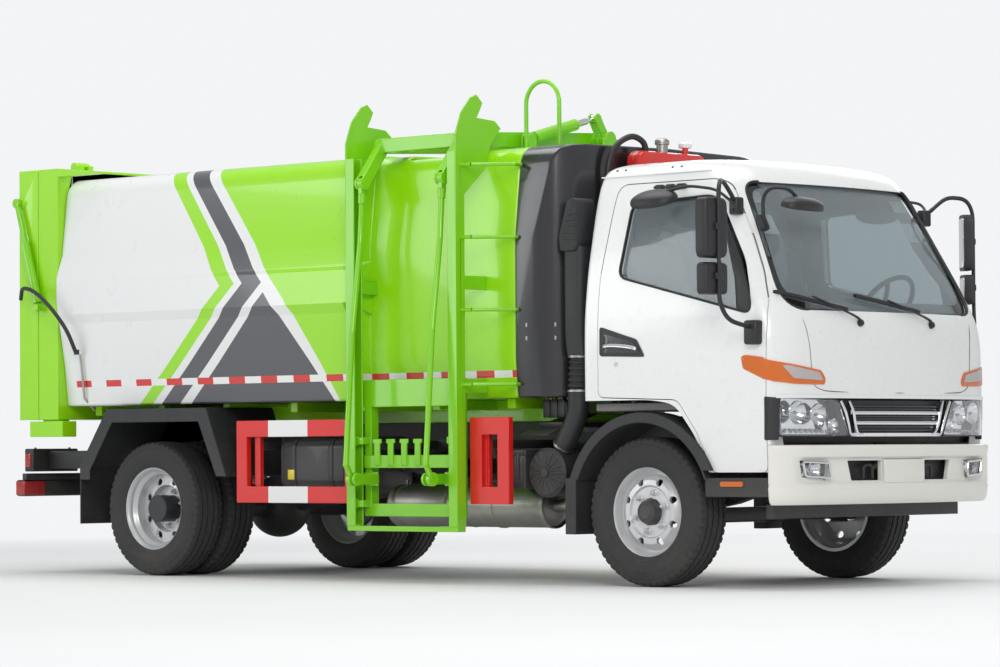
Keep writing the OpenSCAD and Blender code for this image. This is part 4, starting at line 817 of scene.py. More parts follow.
# z, rear, front, half width, front corner radius, rear corner radius
cabRings = [(0.63, -0.44, 1.018, 0.975, 0.15, 0.03), (0.8, -0.44, 1.036, 0.985, 0.165, 0.03),
    (1.00, -0.44, 1.046, 0.99, 0.175, 0.03), (1.2, -0.44, 1.048, 0.991, 0.185, 0.03),
    (1.36, -0.44, 1.044, 0.991, 0.19, 0.03), (1.47, -0.44, 1.028, 0.989, 0.2, 0.03),
    (1.54, -0.44, 1.002, 0.986, 0.205, 0.032), (1.66, -0.44, 0.945, 0.974, 0.212, 0.034),
    (1.8, -0.44, 0.873, 0.955, 0.22, 0.036), (1.95, -0.44, 0.796, 0.926, 0.225, 0.038),
    (2.1, -0.44, 0.718, 0.895, 0.23, 0.04), (2.2, -0.44, 0.664, 0.87, 0.235, 0.045),
    (2.27, -0.438, 0.622, 0.85, 0.24, 0.05), (2.33, -0.434, 0.57, 0.822, 0.25, 0.06),
    (2.365, -0.425, 0.5, 0.78, 0.26, 0.07), (2.39, -0.4, 0.4, 0.7, 0.26, 0.08),
    (2.405, -0.35, 0.27, 0.56, 0.22, 0.09), (2.413, -0.25, 0.13, 0.32, 0.12, 0.08)]
cabStack = smoothPath(cabRings, 120)
cabStack[:, 0] = np.maximum.accumulate(cabStack[:, 0])
cabBow = 0.095    # how far the nose's corners stand behind its middle
noseStep = 0.006  # how far the outer skin stands ahead of the rings


def cabRow(z):
    return [np.interp(z, cabStack[:, 0], cabStack[:, k]) for k in range(1, 6)]


def cabSkin(s, z, out=0.0):
    # point of the skin: s runs along the ring from the nose centre, positive to the right side
    s, z = np.broadcast_arrays(np.asarray(s, float), np.asarray(z, float))
    rear, front, half, corner, _ = cabRow(z)
    front, half, corner = front + out, half + out, corner + out
    a = np.abs(s) - (half - corner)
    turn = np.clip(a / corner, 0, math.pi / 2)
    x = np.where(a <= 0, front, front - corner + corner * np.cos(turn))
    y = np.where(a <= 0, np.abs(s), half - corner + corner * np.sin(turn))
    x = np.where(a > corner * math.pi / 2, front - corner - (a - corner * math.pi / 2), x)
    fade = np.clip((x - (front - corner)) / corner, 0, 1)
    x = x - cabBow * (y / half) ** 2 * fade + (noseStep if out >= 0 else 0.0)
    return np.stack([x, -np.sign(s) * y, z], -1)


def alongSkin(x, z):
    # ring distance s of a side point given by its place along the truck
    rear, front, half, corner, _ = cabRow(np.asarray(z, float))
    x = np.asarray(x, float)
    flat = half - corner + corner * math.pi / 2 + (front - corner - x)
    bend = half - corner + corner * np.arccos(np.clip((x - (front - corner)) / corner, 0, 1))
    return np.where(x < front - corner, flat, bend)


def cabRingPoints(row, inset):
    # half of the nose, a quarter circle, the side, a quarter circle, half of the rear; then all mirrored
    z, rear, front, half, corner, back = row
    rear, front, half = rear + inset, front - inset, half - inset
    corner, back = max(corner - inset, 0.012), max(back - inset, 0.006)
    t = np.linspace(0, 1, 25)[1:]
    quarter = np.linspace(0, math.pi / 2, 15)
    xs = np.r_[front + 0 * t, front - corner + corner * np.cos(quarter[1:]),
        (front - corner) + (rear + back - front + corner) * np.linspace(0, 1, 42)[1:],
        rear + back - back * np.sin(quarter[1:]), rear + 0 * t[:-1]]
    ys = np.r_[(half - corner) * t, half - corner + corner * np.sin(quarter[1:]), half + np.zeros(41),
        half - back + back * np.cos(quarter[1:]), (half - back) * (1 - t[:-1])]
    fade = np.clip((xs - (front - corner)) / corner, 0, 1)
    xs = xs - cabBow * (ys / half) ** 2 * fade + (noseStep if inset <= 0 else 0.0)
    right = np.c_[xs, -ys, np.full(len(xs), z)]
    left = right[::-1] * [1, -1, 1]
    return np.vstack([[[front + (noseStep if inset <= 0 else 0), 0, z]], right, [[rear, 0, z]], left])


def cabLoft(inset, low, drop=0.0):
    # rings from a height upward; the drop lowers the roof of an inner skin
    rows = [np.array([low, *cabRow(low)])] + [row for row in cabStack if low < row[0]]
    rings = np.array([cabRingPoints(row, inset) for row in rows])
    rings[:, :, 2] -= drop * np.clip((rings[:, :, 2] - 1.6) / 0.7, 0, 1)
    return rings


def cabWallPart(outer, inner, low):
    # closed wall between two offsets of the skin, open below
    a, b = cabLoft(outer, low), cabLoft(inner, low, inner - outer)
    n, m = a.shape[0], a.shape[1]
    points = np.concatenate([a, b]).reshape(-1, 3)
    faces = gridQuads(n, m, wrapColumns=True).tolist() + [list(range((n - 1) * m, n * m))]
    second = [[n * m + k for k in face[::-1]] for face in gridQuads(n, m, wrapColumns=True).tolist()]
    second.append([n * m + k for k in range((n - 1) * m, n * m)][::-1])
    rim = [[k, n * m + k, n * m + (k + 1) % m, (k + 1) % m] for k in range(m)]
    return points, faces + second + rim


def prismX(outline, near, far):
    return slabOf(np.asarray(outline, float), near, far, placeX)


def prismY(outline, near, far):
    return slabOf(np.asarray(outline, float), near, far, placeY)


def patchOf(outline, surface, near, far, step=0.035):
    # outline filled with a triangle net, laid on the surface at two offsets and walled round
    outline = np.asarray(outline, float)
    if signedArea(outline) < 0:
        outline = outline[::-1]
    fine = []
    for a, b in zip(outline, np.roll(outline, -1, 0)):
        n = max(1, int(np.linalg.norm(b - a) / step))
        fine += [a + (b - a) * k / n for k in range(n)]
    fine = np.array(fine)
    low, high = fine.min(0), fine.max(0)
    gx, gy = np.meshgrid(np.arange(low[0], high[0], step), np.arange(low[1], high[1], step))
    grid = np.c_[gx.ravel(), gy.ravel()]
    keep = []
    nextFine = np.roll(fine, -1, 0)
    run = nextFine - fine
    # a net point is kept when a line from it crosses the outline an odd number of times
    for p in grid:
        straddles = (fine[:, 1] > p[1]) != (nextFine[:, 1] > p[1])
        meets = run[:, 0] * (p[1] - fine[:, 1]) / (run[:, 1] + 1e-15) + fine[:, 0]
        if (straddles & (p[0] < meets)).sum() % 2 and np.min(np.linalg.norm(fine - p,
                axis=1)) > step * 0.55:
            keep.append(p)
    flat = np.vstack([fine, np.array(keep).reshape(-1, 2)])
    edges = [(k, (k + 1) % len(fine)) for k in range(len(fine))]
    verts, _, triangles, *_ = delaunay_2d_cdt([tuple(p) for p in flat], edges, [list(range(len(fine)))], 1,
        1e-7)
    verts = np.array([tuple(v) for v in verts])
    n = len(verts)
    low3, high3 = surface(verts, near), surface(verts, far)
    faces = [list(t) for t in triangles] + [[n + k for k in t[::-1]] for t in triangles]
    count = {}
    for t in triangles:
        for a, b in zip(t, list(t[1:]) + [t[0]]):
            key = (min(a, b), max(a, b))
            count.setdefault(key, []).append((a, b))
    faces += [[b, a, n + a, n + b] for key, pairs in count.items() if len(pairs) == 1 for a, b in pairs]
    return np.vstack([low3, high3]), faces


def frontSurface(points, out):
    return cabSkin(points[:, 0], points[:, 1], out)


def sideSurface(points, out):
    return cabSkin(alongSkin(points[:, 0], points[:, 1]), points[:, 1], out)


def spotOn(surface, s, z, out):
    return surface(np.array([(s, z)]), out)[0]


def barAcross(half, z, out, count, section):
    # bar carried across the nose at one height
    return sweepOf(frontSurface(np.c_[np.linspace(-half, half, count), np.full(count, z)], out), section)


def sealOn(outline, surface, out, width, height):
    # rubber seal laid along an outline on the skin
    path = surface(np.asarray(outline, float), out)
    return sweepOf(path, barSection(width / 2, height / 2, height * 0.45, 2), closed=True)


# cab shell and doors

cabShape = {
    "wall": 0.05, "gap": 0.005, "sill": 0.64, "doorSill": 0.60, "lined": 0.03,
    "door": [(-0.318, 1.065), (-0.318, 1.72), (-0.268, 2.22), (-0.23, 2.265), (0.45, 2.265), (0.515, 2.235),
             (0.6, 2.1), (0.705, 1.92), (0.8, 1.735), (0.865, 1.575), (0.885, 1.44), (0.885, 0.64),
             (0.5, 0.64), (0.4, 0.86), (0.26, 1.045)],
    "window": [(-0.18, 1.738), (-0.138, 2.15), (0.43, 2.175), (0.51, 2.135), (0.715, 1.8), (0.778, 1.62),
               (0.785, 1.505)],
    "screen": [(-0.885, 1.525), (-0.755, 2.25), (0.755, 2.25), (0.885, 1.525)],
    "arch": [(-0.7, 0.3), (-0.7, 1.045), (0.06, 1.045), (0.24, 1.02), (0.385, 0.84), (0.485, 0.62),
             (0.485, 0.3)],
}


def doorLine(grow):
    base = roundedShape(cabShape["door"], 0.04, 4)
    base = base if signedArea(base) > 0 else base[::-1]
    return base - inwardOf(base) * grow


windowLine = roundedShape(cabShape["window"], 0.055, 5)
screenLine = roundedShape(cabShape["screen"], (0.17, 0.09, 0.09, 0.17), 8)
screenOpening = frontSurface(screenLine, 0.0)[:, [1, 2]]
archLine = roundedShape(cabShape["arch"], 0.07, 4)
rearWindow = roundedRect((-0.48, 1.64), (0.48, 2.06), 0.06)


def insideCab(points, depth):
    # true where a point lies deeper than the depth under the skin
    rear, front, half, corner, _ = cabRow(points[:, 2])
    y = np.abs(points[:, 1])
    along = points[:, 0] - axleX
    x = along + cabBow * (y / half) ** 2 * np.clip((along - front + 2 * corner) / corner, 0, 1)
    reach = np.hypot(np.maximum(x - (front - corner), 0), np.maximum(y - (half - corner), 0))
    bent = (x > front - corner) & (y > half - corner)
    within = (y < half - depth) & (x < front - depth) & (x > rear + depth) & (points[:, 2] < 2.4)
    return within & ~(bent & (reach > corner - depth))


def linedFaces(mesh, lining, depth):
    mesh.materials.append(lining)
    centres = np.zeros(len(mesh.polygons) * 3)
    mesh.polygons.foreach_get("center", centres)
    inner = insideCab(centres.reshape(-1, 3), depth)
    mesh.polygons.foreach_set("material_index", inner.astype(int))
    mesh.update()


wallPart = cabWallPart(0.0, cabShape["wall"], cabShape["sill"])
doorHole = prismY(doorLine(cabShape["gap"]), -1.3, -0.66)
noseCut = prismY([(0.903, 0.4), (1.4, 0.4), (1.4, 1.047), (0.903, 1.047)], -1.3, 1.3)
shellMesh = carved("cabShell", wallPart, [doorHole, mirroredPart(doorHole), prismX(screenOpening, 0.3, 1.5),
    prismX(rearWindow, -0.7, -0.2), prismY(archLine, -1.4, 1.4), noseCut])
addObject("cabShellSkin", shellMesh, whitePaint, "truck", 32, ("cab_shell",))
linedFaces(shellMesh, trimGrey, cabShape["lined"])
floorPart = boxOf((-0.39, -0.93, 0.985), (0.86, 0.93, 1.03), 0.008)
addPiece("cabFloor", floorPart, trimGrey)
doorMesh = carved("door", cabWallPart(0.0, cabShape["wall"], cabShape["doorSill"]),
    [prismY(windowLine, -1.4, -0.5)], [prismY(doorLine(0.0), -1.3, -0.6)])
for side, mesh in (("right", doorMesh), ("left", mirroredMesh(doorMesh))):
    addObject("door_" + side + "Skin", mesh, whitePaint, "door_" + side, 32, ("door_" + side,))
    linedFaces(mesh, trimGrey, cabShape["lined"])
dripX = np.linspace(-0.425, 0.4, 24)
dripRail = sweepOf(sideSurface(np.c_[dripX, 2.318 + 0.004 * dripX], 0.003),
    barSection(0.006, 0.004, 0.003, 2))
roofScrews = studsOf(sideSurface(np.array([(-0.325, 2.352), (-0.262, 2.352), (0.085, 2.352),
    (0.15, 2.352)]), -0.001), (0, -0.7, 0.7), 0.008, 0.004, 12)
print("cab shell and doors made")


truckBodies = ("truck", "truck")
doorBodies = ("door_right", "door_left")


def bothSides(name, part, material, bodies=truckBodies, smoothAngle=34, replaced=((), ())):
    addPiece(name + "Right", part, material, bodies[0], smoothAngle, replaced[0])
    addPiece(name + "Left", mirroredPart(part), material, bodies[1], smoothAngle, replaced[1])


bothSides("dripRail", dripRail, whitePaint)
bothSides("roofScrews", roofScrews, trimBlack)

# window glass, seals and the dark print round the windscreen
screenInner = roundedShape([(-0.83, 1.585), (-0.715, 2.215), (0.715, 2.215), (0.83, 1.585)],
    (0.14, 0.07, 0.07, 0.14), 8)
addPiece("screenGlass", patchOf(screenLine, frontSurface, -0.022, -0.017, 0.05), windowGlass,
    replaces=("cab_glass",))


def bandOn(outer, inner, surface, near, far):
    # ring between two outlines with the same number of points
    a, b = np.asarray(outer, float), np.asarray(inner, float)
    n = len(a)
    rows = np.concatenate([surface(a, near), surface(b, near), surface(b, far), surface(a, far)])
    return rows, gridQuads(4, n, wrapRows=True, wrapColumns=True).tolist()


addPiece("screenBorder", bandOn(screenLine, screenInner, frontSurface, -0.0165, -0.0155), gloss)
addPiece("screenSeal", sealOn(screenLine, frontSurface, -0.002, 0.022, 0.014), sealRubberAndShutShade)
addPiece("rearGlass", slabOf(rearWindow, -0.425, -0.419, placeX, 0.001), windowGlass)
addPiece("rearGlassSeal", sweepOf(placeX(np.c_[rearWindow, np.full(len(rearWindow), -0.442)]),
    barSection(0.012, 0.006, 0.003, 2), closed=True), sealRubberAndShutShade)
bothSides("doorGlass", patchOf(windowLine, sideSurface, -0.026, -0.021, 0.05), windowGlass, doorBodies,
    34, (("glass_right",), ("glass_left",)))
bothSides("doorSeal", sealOn(windowLine, sideSurface, -0.001, 0.02, 0.012), sealRubberAndShutShade, doorBodies)
quarterStrip = roundedShape([(0.7, 1.53), (0.675, 1.7), (0.555, 2.03), (0.515, 2.14), (0.715, 1.8),
    (0.775, 1.62), (0.78, 1.51)], 0.012, 3)
bothSides("quarterStrip", patchOf(quarterStrip, sideSurface, -0.02, -0.008, 0.04), trimBlack, doorBodies)

# handle recess with its bar and the lock
handleShape = roundedShape([(-0.312, 1.295), (-0.312, 1.462), (-0.16, 1.418), (-0.04, 1.385),
    (0.02, 1.285)], 0.02, 4)
handleDish = roundedShape([(-0.29, 1.315), (-0.29, 1.42), (-0.16, 1.39), (-0.06, 1.365), (-0.02, 1.305)],
    0.015, 4)
bothSides("handlePatch", patchOf(handleShape, sideSurface, -0.004, 0.0035, 0.03), trimBlack, doorBodies)
bothSides("handleDish", patchOf(handleDish, sideSurface, 0.0028, 0.0048, 0.03), gloss, doorBodies)
handlePath = sideSurface(np.array([(-0.265, 1.343), (-0.262, 1.35), (-0.2, 1.353), (-0.1, 1.345),
    (-0.04, 1.335), (-0.036, 1.328)]), 0.001)
handlePath[1:-1, 1] -= 0.022
handleBar = sweepOf(smoothPath(handlePath, 30), barSection(0.006, 0.01, 0.004, 3))
bothSides("handleBar", handleBar, chrome, doorBodies)
lockSpot = spotOn(sideSurface, -0.19, 1.245, 0.0)
bothSides("doorLock", latheOf([(0.0005, -0.002), (0.013, -0.002), (0.013, 0.003), (0.009, 0.0045),
    (0.008, 0.003), (0.0005, 0.003)], lockSpot, (0, -1, 0), 24), chrome, doorBodies)
print("cab glass and door trim made")


# nose: turn lamps, headlamps, grille and bumper

# name, surface, corners, corner radius, near and far face, net step, material, bodies
noseLamps = [
    ("turnLampRear", sideSurface, [(0.725, 1.206), (0.712, 1.27), (0.735, 1.281), (0.88, 1.263),
                                   (0.88, 1.142)],
     0.012, -0.006, 0.006, 0.025, orangeLens, doorBodies),
    ("turnLampFront", frontSurface, [(0.64, 1.118), (0.632, 1.15), (0.665, 1.195), (0.9, 1.232),
                                     (1.085, 1.258),
                                     (1.085, 1.15), (1.00, 1.135), (0.85, 1.12)],
     0.014, -0.006, 0.006, 0.025, orangeLens, truckBodies),
    ("turnLampClear", frontSurface, [(0.655, 1.14), (0.682, 1.184), (0.89, 1.22), (0.94, 1.222),
                                     (0.865, 1.15)],
     0.012, 0.0055, 0.0085, 0.02, whiteLens, truckBodies),
]
for name, surface, corners, radius, near, far, step, lens, bodies in noseLamps:
    bothSides(name, patchOf(roundedShape(corners, radius, 4), surface, near, far, step), lens, bodies)

# shut line of the nose lid: painted shade, a thin black strip laid on the skin where the lid's gap falls in
# shade
lidLine = smoothPath(np.vstack([frontSurface(np.array([(0.8, 1.56), (0.765, 1.45), (0.745, 1.34),
    (0.735, 1.24), (0.72, 1.13), (0.66, 1.09), (0.5, 1.078), (0.0, 1.075)]), 0.0)]), 90)
lidShutShade = sweepOf(lidLine, barSection(0.0022, 0.0014, 0.001, 2))
bothSides("lidShutShade", lidShutShade, sealRubberAndShutShade)
addPiece("noseLip", barAcross(0.98, 1.052, 0.003, 90, barSection(0.006, 0.01, 0.004, 3)), whitePaint)

nosePanel = roundedShape([(-1.085, 0.8), (-1.085, 1.04), (1.085, 1.04), (1.085, 0.8)], 0.004, 2)
addPiece("nosePanel", patchOf(nosePanel, frontSurface, -0.1, -0.085, 0.05), trimBlack)
cornerShape = roundedShape([(0.955, 0.815), (0.955, 1.045), (1.088, 1.052), (1.088, 0.815)], 0.012, 4)
bothSides("cornerPanel", patchOf(cornerShape, frontSurface, -0.09, 0.004, 0.03), trimBlack,
    replaced=(("lamps",), ()))
lensShape = roundedShape([(0.95, 0.838), (0.95, 1.045), (0.53, 1.032), (0.435, 0.838)],
    (0.02, 0.02, 0.03, 0.03), 5)
bothSides("headlampLens", patchOf(lensShape, frontSurface, -0.004, 0.003, 0.03), clearLens)
lensFrame = roundedShape([(0.956, 0.832), (0.956, 1.051), (0.524, 1.038), (0.425, 0.832)],
    (0.02, 0.02, 0.03, 0.03), 5)
bothSides("headlampFrame", bandOn(lensFrame, lensShape, frontSurface, -0.045, 0.001), trimBlack)
bothSides("headlampBack", patchOf(lensFrame, frontSurface, -0.085, -0.075, 0.03), reflector)


def reflectorBowl(s, z, radius, depth):
    # paraboloid: depth grows with the square of the radius
    front = spotOn(frontSurface, s, z, -0.018)
    r = np.linspace(0.002, radius, 14)
    inner = np.c_[r, -depth * (1 - (r / radius) ** 2)]
    outer = np.c_[r[::-1] + 0.003, -depth * (1 - (r[::-1] / radius) ** 2) - 0.004]
    return latheOf(np.vstack([inner, outer, inner[:1]]), front, (1, -0.12, 0), 40)


bothSides("headlampBowls", joined(reflectorBowl(0.81, 0.965, 0.062, 0.05),
    reflectorBowl(0.655, 0.955, 0.058, 0.05), reflectorBowl(0.54, 0.9, 0.034, 0.03)), reflector)
bulbSpots = [spotOn(frontSurface, s, z, -0.045) for s, z in ((0.81, 0.965), (0.655, 0.955))]
bothSides("headlampBulbs", joined(*[latheOf([(0.001, 0), (0.009, 0), (0.01, 0.014), (0.007, 0.022),
    (0.001, 0.025)], spot, (1, -0.12, 0), 20) for spot in bulbSpots]), whiteLens)
dayLights = joined(*[blobOf(spotOn(frontSurface, s, 0.862, -0.014), (0.008, 0.012, 0.009), 0.5, 8, 12)
    for s in np.linspace(0.52, 0.9, 11)])
bothSides("dayLights", dayLights, whiteLens)

# grille: dark slats between bright bars and two bright horns
grilleBack = roundedShape([(-0.52, 1.032), (0.52, 1.032), (0.42, 0.83), (-0.42, 0.83)], 0.02, 4)
addPiece("grilleBack", patchOf(grilleBack, frontSurface, -0.05, -0.03, 0.05), trimBlack,
    replaces=("grille",))
slats = [barAcross(0.36 + 0.1 * t, z, -0.022, 40, barSection(0.008, 0.004, 0.002, 2))
    for z, t in ((0.868, 0.0), (0.886, 0.1), (0.93, 0.3), (0.944, 0.35), (0.985, 0.55), (1.000, 0.6))]
addPiece("grilleSlats", joined(*slats), gloss)
brightBars = [barAcross(0.375 + 0.09 * t, z, -0.01, 50, barSection(0.013, 0.011, 0.006))
    for z, t in ((0.908, 0.2), (0.964, 0.5))]
addPiece("grilleBars", joined(*brightBars), chrome)


def hornOf(points, widths):
    path = smoothPath(frontSurface(np.array(points), -0.004), 40)
    scales = np.interp(np.linspace(0, 1, 40), np.linspace(0, 1, len(widths)), widths)
    return sweepOf(path, barSection(0.5, 0.32, 0.2, 4), scales)


horn = joined(hornOf([(0.508, 1.03), (0.47, 0.97), (0.44, 0.9), (0.415, 0.845), (0.36, 0.838)],
    (0.03, 0.034, 0.03, 0.024, 0.015)), hornOf([(0.435, 1.028), (0.405, 0.97), (0.385, 0.9), (0.355, 0.852),
    (0.3, 0.845)], (0.022, 0.034, 0.03, 0.022, 0.014)))
bothSides("grilleHorn", horn, chrome)
addPiece("grilleLowerBar", barAcross(0.4, 0.842, -0.006, 60, barSection(0.01, 0.01, 0.004, 3)), whitePaint)

bumperShape = {"front": 1.1, "half": 0.998, "corner": 0.2, "bow": 0.095, "back": 0.905}


def bumperPath(inset, count=30):
    # plan line from the right rear end round the nose to the left
    b = bumperShape
    half, front, corner = b["half"] - inset, b["front"] - inset, b["corner"]
    t = np.linspace(0, 1, count)
    quarter = np.linspace(0, math.pi / 2, 16)
    xs = np.r_[np.linspace(b["back"], front - corner, 8)[:-1], front - corner + corner * np.sin(quarter),
        np.full(count - 1, front)]
    ys = np.r_[np.full(7, half), half - corner + corner * np.cos(quarter), (half - corner) * (1 - t[1:])]
    fade = np.clip((xs - (front - corner)) / corner, 0, 1)
    xs = xs - b["bow"] * (ys / half) ** 2 * fade
    right = np.c_[xs, -ys]
    return np.vstack([right, right[:-1][::-1] * [1, -1]])


def bumperPart():
    # closed section carried round the plan line; the middle band is drawn in between the fog lamps
    section = [(0.01, 0.787), (0.002, 0.782), (0.0, 0.772), (0.002, 0.735), (0.006, 0.722), (0.03, 0.708),
        (0.034, 0.695), (0.033, 0.6), (0.03, 0.585), (0.008, 0.566), (0.003, 0.552), (0.006, 0.51),
        (0.014, 0.478), (0.026, 0.463), (0.036, 0.46), (0.05, 0.465), (0.062, 0.48), (0.062, 0.77),
        (0.052, 0.785), (0.03, 0.788)]
    path = bumperPath(0.0)
    half = np.abs(path[:, 1])
    normal = np.gradient(path, axis=0)
    normal = np.c_[normal[:, 1], -normal[:, 0]]
    normal /= np.linalg.norm(normal, axis=1, keepdims=True)
    normal *= np.sign(np.sum(normal * np.c_[path[:, 0] - 0.6, path[:, 1]], axis=1, keepdims=True))
    lines = []
    for depth, z in section:
        inset = np.full(len(path), depth)
        if depth > 0.025 and 0.57 < z < 0.715:
            inset = 0.004 + (depth - 0.004) * np.clip((0.9 - half) / 0.07, 0, 1)
        lines.append(np.c_[path - normal * inset[:, None], np.full(len(path), z)])
    rows = np.array(lines).transpose(1, 0, 2)
    return rows.reshape(-1, 3), cappedQuads(*rows.shape[:2])


hookHole = slabOf([(0.19, 0.59), (0.19, 0.7), (0.475, 0.7), (0.445, 0.59)], 0.9, 1.2, placeX)
fogHole = slabOf([(0.645, 0.6), (0.63, 0.695), (0.845, 0.703), (0.825, 0.612)], 0.8, 1.2, placeX)
bumperMesh = carved("bumper", bumperPart(), [hookHole, mirroredPart(hookHole), fogHole,
    mirroredPart(fogHole)])
bumperPiece = addObject("bumperSkin", bumperMesh, bumperPaint, "truck", 34, ("bumpers",))
bevelled(bumperPiece, 0.0025, 2, 40)
addPiece("platePanel", boxOf((1.062, -0.185, 0.575), (1.084, 0.185, 0.706), 0.006), bumperPaint)
hookBox = joined(boxOf((0.975, 0.17, 0.575), (0.992, 0.5, 0.72), 0.003),
    tubeOf(filletPath([(1.03, 0.235, 0.6), (1.03, 0.235, 0.675), (1.03, 0.315, 0.675), (1.03, 0.315, 0.6)],
    0.03), 0.01, 12))
bothSides("hookWell", hookBox, trimBlack)
fogBack = (1.0, -0.72, 0.652)
bothSides("fogBowl", joined(boxOf((0.93, -0.87, 0.59), (0.945, -0.6, 0.715), 0.003),
    latheOf([(0.001, -0.028), (0.025, -0.022), (0.04, 0.0), (0.043, 0.0), (0.028, -0.026), (0.001, -0.033)],
    fogBack, (1, 0, 0), 32)), reflector)
fogLine = roundedShape([(-0.637, 0.607), (-0.646, 0.688), (-0.832, 0.696), (-0.815, 0.618)], 0.015, 4)
fogTurn = ((1.045, -0.72, 0.65), "Z", math.radians(-12))
bothSides("fogLens", turned(slabOf(fogLine, 1.026, 1.034, placeX, 0.002), *fogTurn), clearLens)
bothSides("fogBezel", turned(sweepOf(placeX(np.c_[fogLine, np.full(len(fogLine), 1.036)]),
    circleOf(0.007, 8), closed=True), *fogTurn), chrome)
print("nose made")

# rear bar with its hangers and reflectors, and the tail lamps
rearBar = [boxOf((-5.25, -1.1, 0.492), (-5.172, 1.1, 0.598), 0.012, 0.008)]
rearBar += [boxOf((-5.172, s * 0.365 - 0.035, 0.49), (-5.11, s * 0.365 + 0.035, 0.72), 0.005)
    for s in (-1, 1)]
rearBar += [boxOf((-5.19, s * 0.85 - 0.25, 0.598), (-5.15, s * 0.85 + 0.25, 0.64), 0.004) for s in (-1, 1)]
addPiece("rearBar", joined(*rearBar), chassisPaint)
bothSides("rearBarTape", boxOf((-5.2515, -1.102, 0.5), (-5.165, -0.93, 0.59), 0.003), redLens)
tailBox = joined(boxOf((-5.185, -1.085, 0.652), (-5.1, -0.7, 0.8), 0.008),
    boxOf((-5.1, -0.96, 0.67), (-4.63, -0.78, 0.785), 0.01),
    studsOf([(-5.13, y, 0.8) for y in (-1.04, -0.75)], (0, 0, 1), 0.008, 0.008))
bothSides("tailLampBox", tailBox, trimBlack)
for name, outer, inner, lens in (("Red", -1.07, -0.96, redLens), ("Orange", -0.952, -0.84, orangeLens),
        ("White", -0.832, -0.72, whiteLens)):
    bothSides("tailLamp" + name, boxOf((-5.198, outer, 0.665), (-5.182, inner, 0.787), 0.004), lens)
bothSides("tailLampSide", boxOf((-5.17, -1.092, 0.68), (-5.12, -1.083, 0.77), 0.003), redLens)
print("rear lamps made")


# tyres: turned section with grooves and shoulder blocks

tyreSetup = {"radius": 0.419, "bead": 0.2475, "grooves": (-0.068, -0.024, 0.024, 0.068), "blocks": 54,
    "grooveDepth": 0.011, "slotDepth": 0.008, "zigzag": 0.0045}


def tyrePart(setup, centreY, flip):
    # section (radius, across); grooves sink 11 mm and run in a zigzag; shoulder slots repeat round the tyre
    crownRadius, bead, grooves = setup["radius"], setup["bead"], setup["grooves"]
    side = [(bead, -0.088, 0), (bead + 0.004, -0.098, 0), (bead + 0.016, -0.106, 0), (0.275, -0.112, 0),
        (0.279, -0.1135, 0), (0.283, -0.1125, 0), (0.3, -0.1195, 0), (0.322, -0.122, 0), (0.33, -0.1225, 0),
        (0.334, -0.1235, 0), (0.338, -0.1225, 0), (0.352, -0.1205, 0), (0.368, -0.1165, 0),
        (0.372, -0.1175, 0), (0.376, -0.115, 0), (0.386, -0.1125, 2), (0.396, -0.1105, 2),
        (0.404, -0.1075, 2), (0.4095, -0.103, 2), (0.412, -0.098, 2)]
    across = [-0.09]
    for g in grooves:
        across += [g - 0.0055, g - 0.005, g + 0.005, g + 0.0055]
        if g < 0.06:
            across.append(g + 0.022)
    across.append(0.09)
    tread = []
    for y in sorted(across):
        deep = any(abs(y - g) < 0.0052 for g in grooves)
        crown = crownRadius - 0.0045 * (y / 0.1) ** 2 - (setup["grooveDepth"] if deep else 0.0)
        tread.append((crown, y, 1 if abs(y) < 0.08 else 2))
    profile = side + tread + [(r, -y, k) for r, y, k in side[::-1]] + [(0.262, 0.08, 0), (0.3, 0.0, 0),
        (0.262, -0.08, 0)]
    table = np.array(profile)
    table[:, 0] = np.minimum(table[:, 0], crownRadius)
    columns = setup["blocks"] * 6
    angle = np.arange(columns) * 2 * math.pi / columns
    kind = table[:, 2][:, None]
    phase = (np.arange(columns) % 6)[None]
    place = table[:, 1][:, None]
    shift = np.where(phase < 3, phase, 6 - phase) / 3 - 0.5
    slot = ((phase == 0) | (phase == 1)) & (kind == 2) & (np.abs(place) > 0.078)
    radius = table[:, 0][:, None] - np.where(slot, setup["slotDepth"], 0.0)
    place = place + np.where(kind == 1, setup["zigzag"] * shift, 0.0) * (1 - 2 * flip)
    points = np.stack([radius * np.cos(angle)[None], place + centreY + 0 * radius,
        radius * np.sin(angle)[None] + axleZ], -1)
    return points.reshape(-1, 3), gridQuads(len(table), columns, wrapRows=True, wrapColumns=True).tolist()


# place of each tyre's middle across the truck, and of the rear axle along it
wheelPlace = {"front": -0.8525, "rearOuter": -0.9975, "rearInner": -0.7175, "rearAxle": (-3.93, 0, 0)}
tyreFront = tyrePart(tyreSetup, wheelPlace["front"], 0)
tyrePair = joined(tyrePart(tyreSetup, wheelPlace["rearOuter"], 0),
    tyrePart(tyreSetup, wheelPlace["rearInner"], 1))
tyreRear = moved(tyrePair, wheelPlace["rearAxle"])
for side, suffix, flip in sides:
    addPiece("tyreFront" + suffix + "Skin", flip(tyreFront), tyreRubber, "wheel_front_" + side, 28,
        ("tyre_front_" + side,))
    addPiece("tyresRear" + suffix + "Skin", flip(tyreRear), tyreRubber, "wheels_rear_" + side, 28,
        ("tyres_rear_" + side,))
print("tyres made")


# wheels

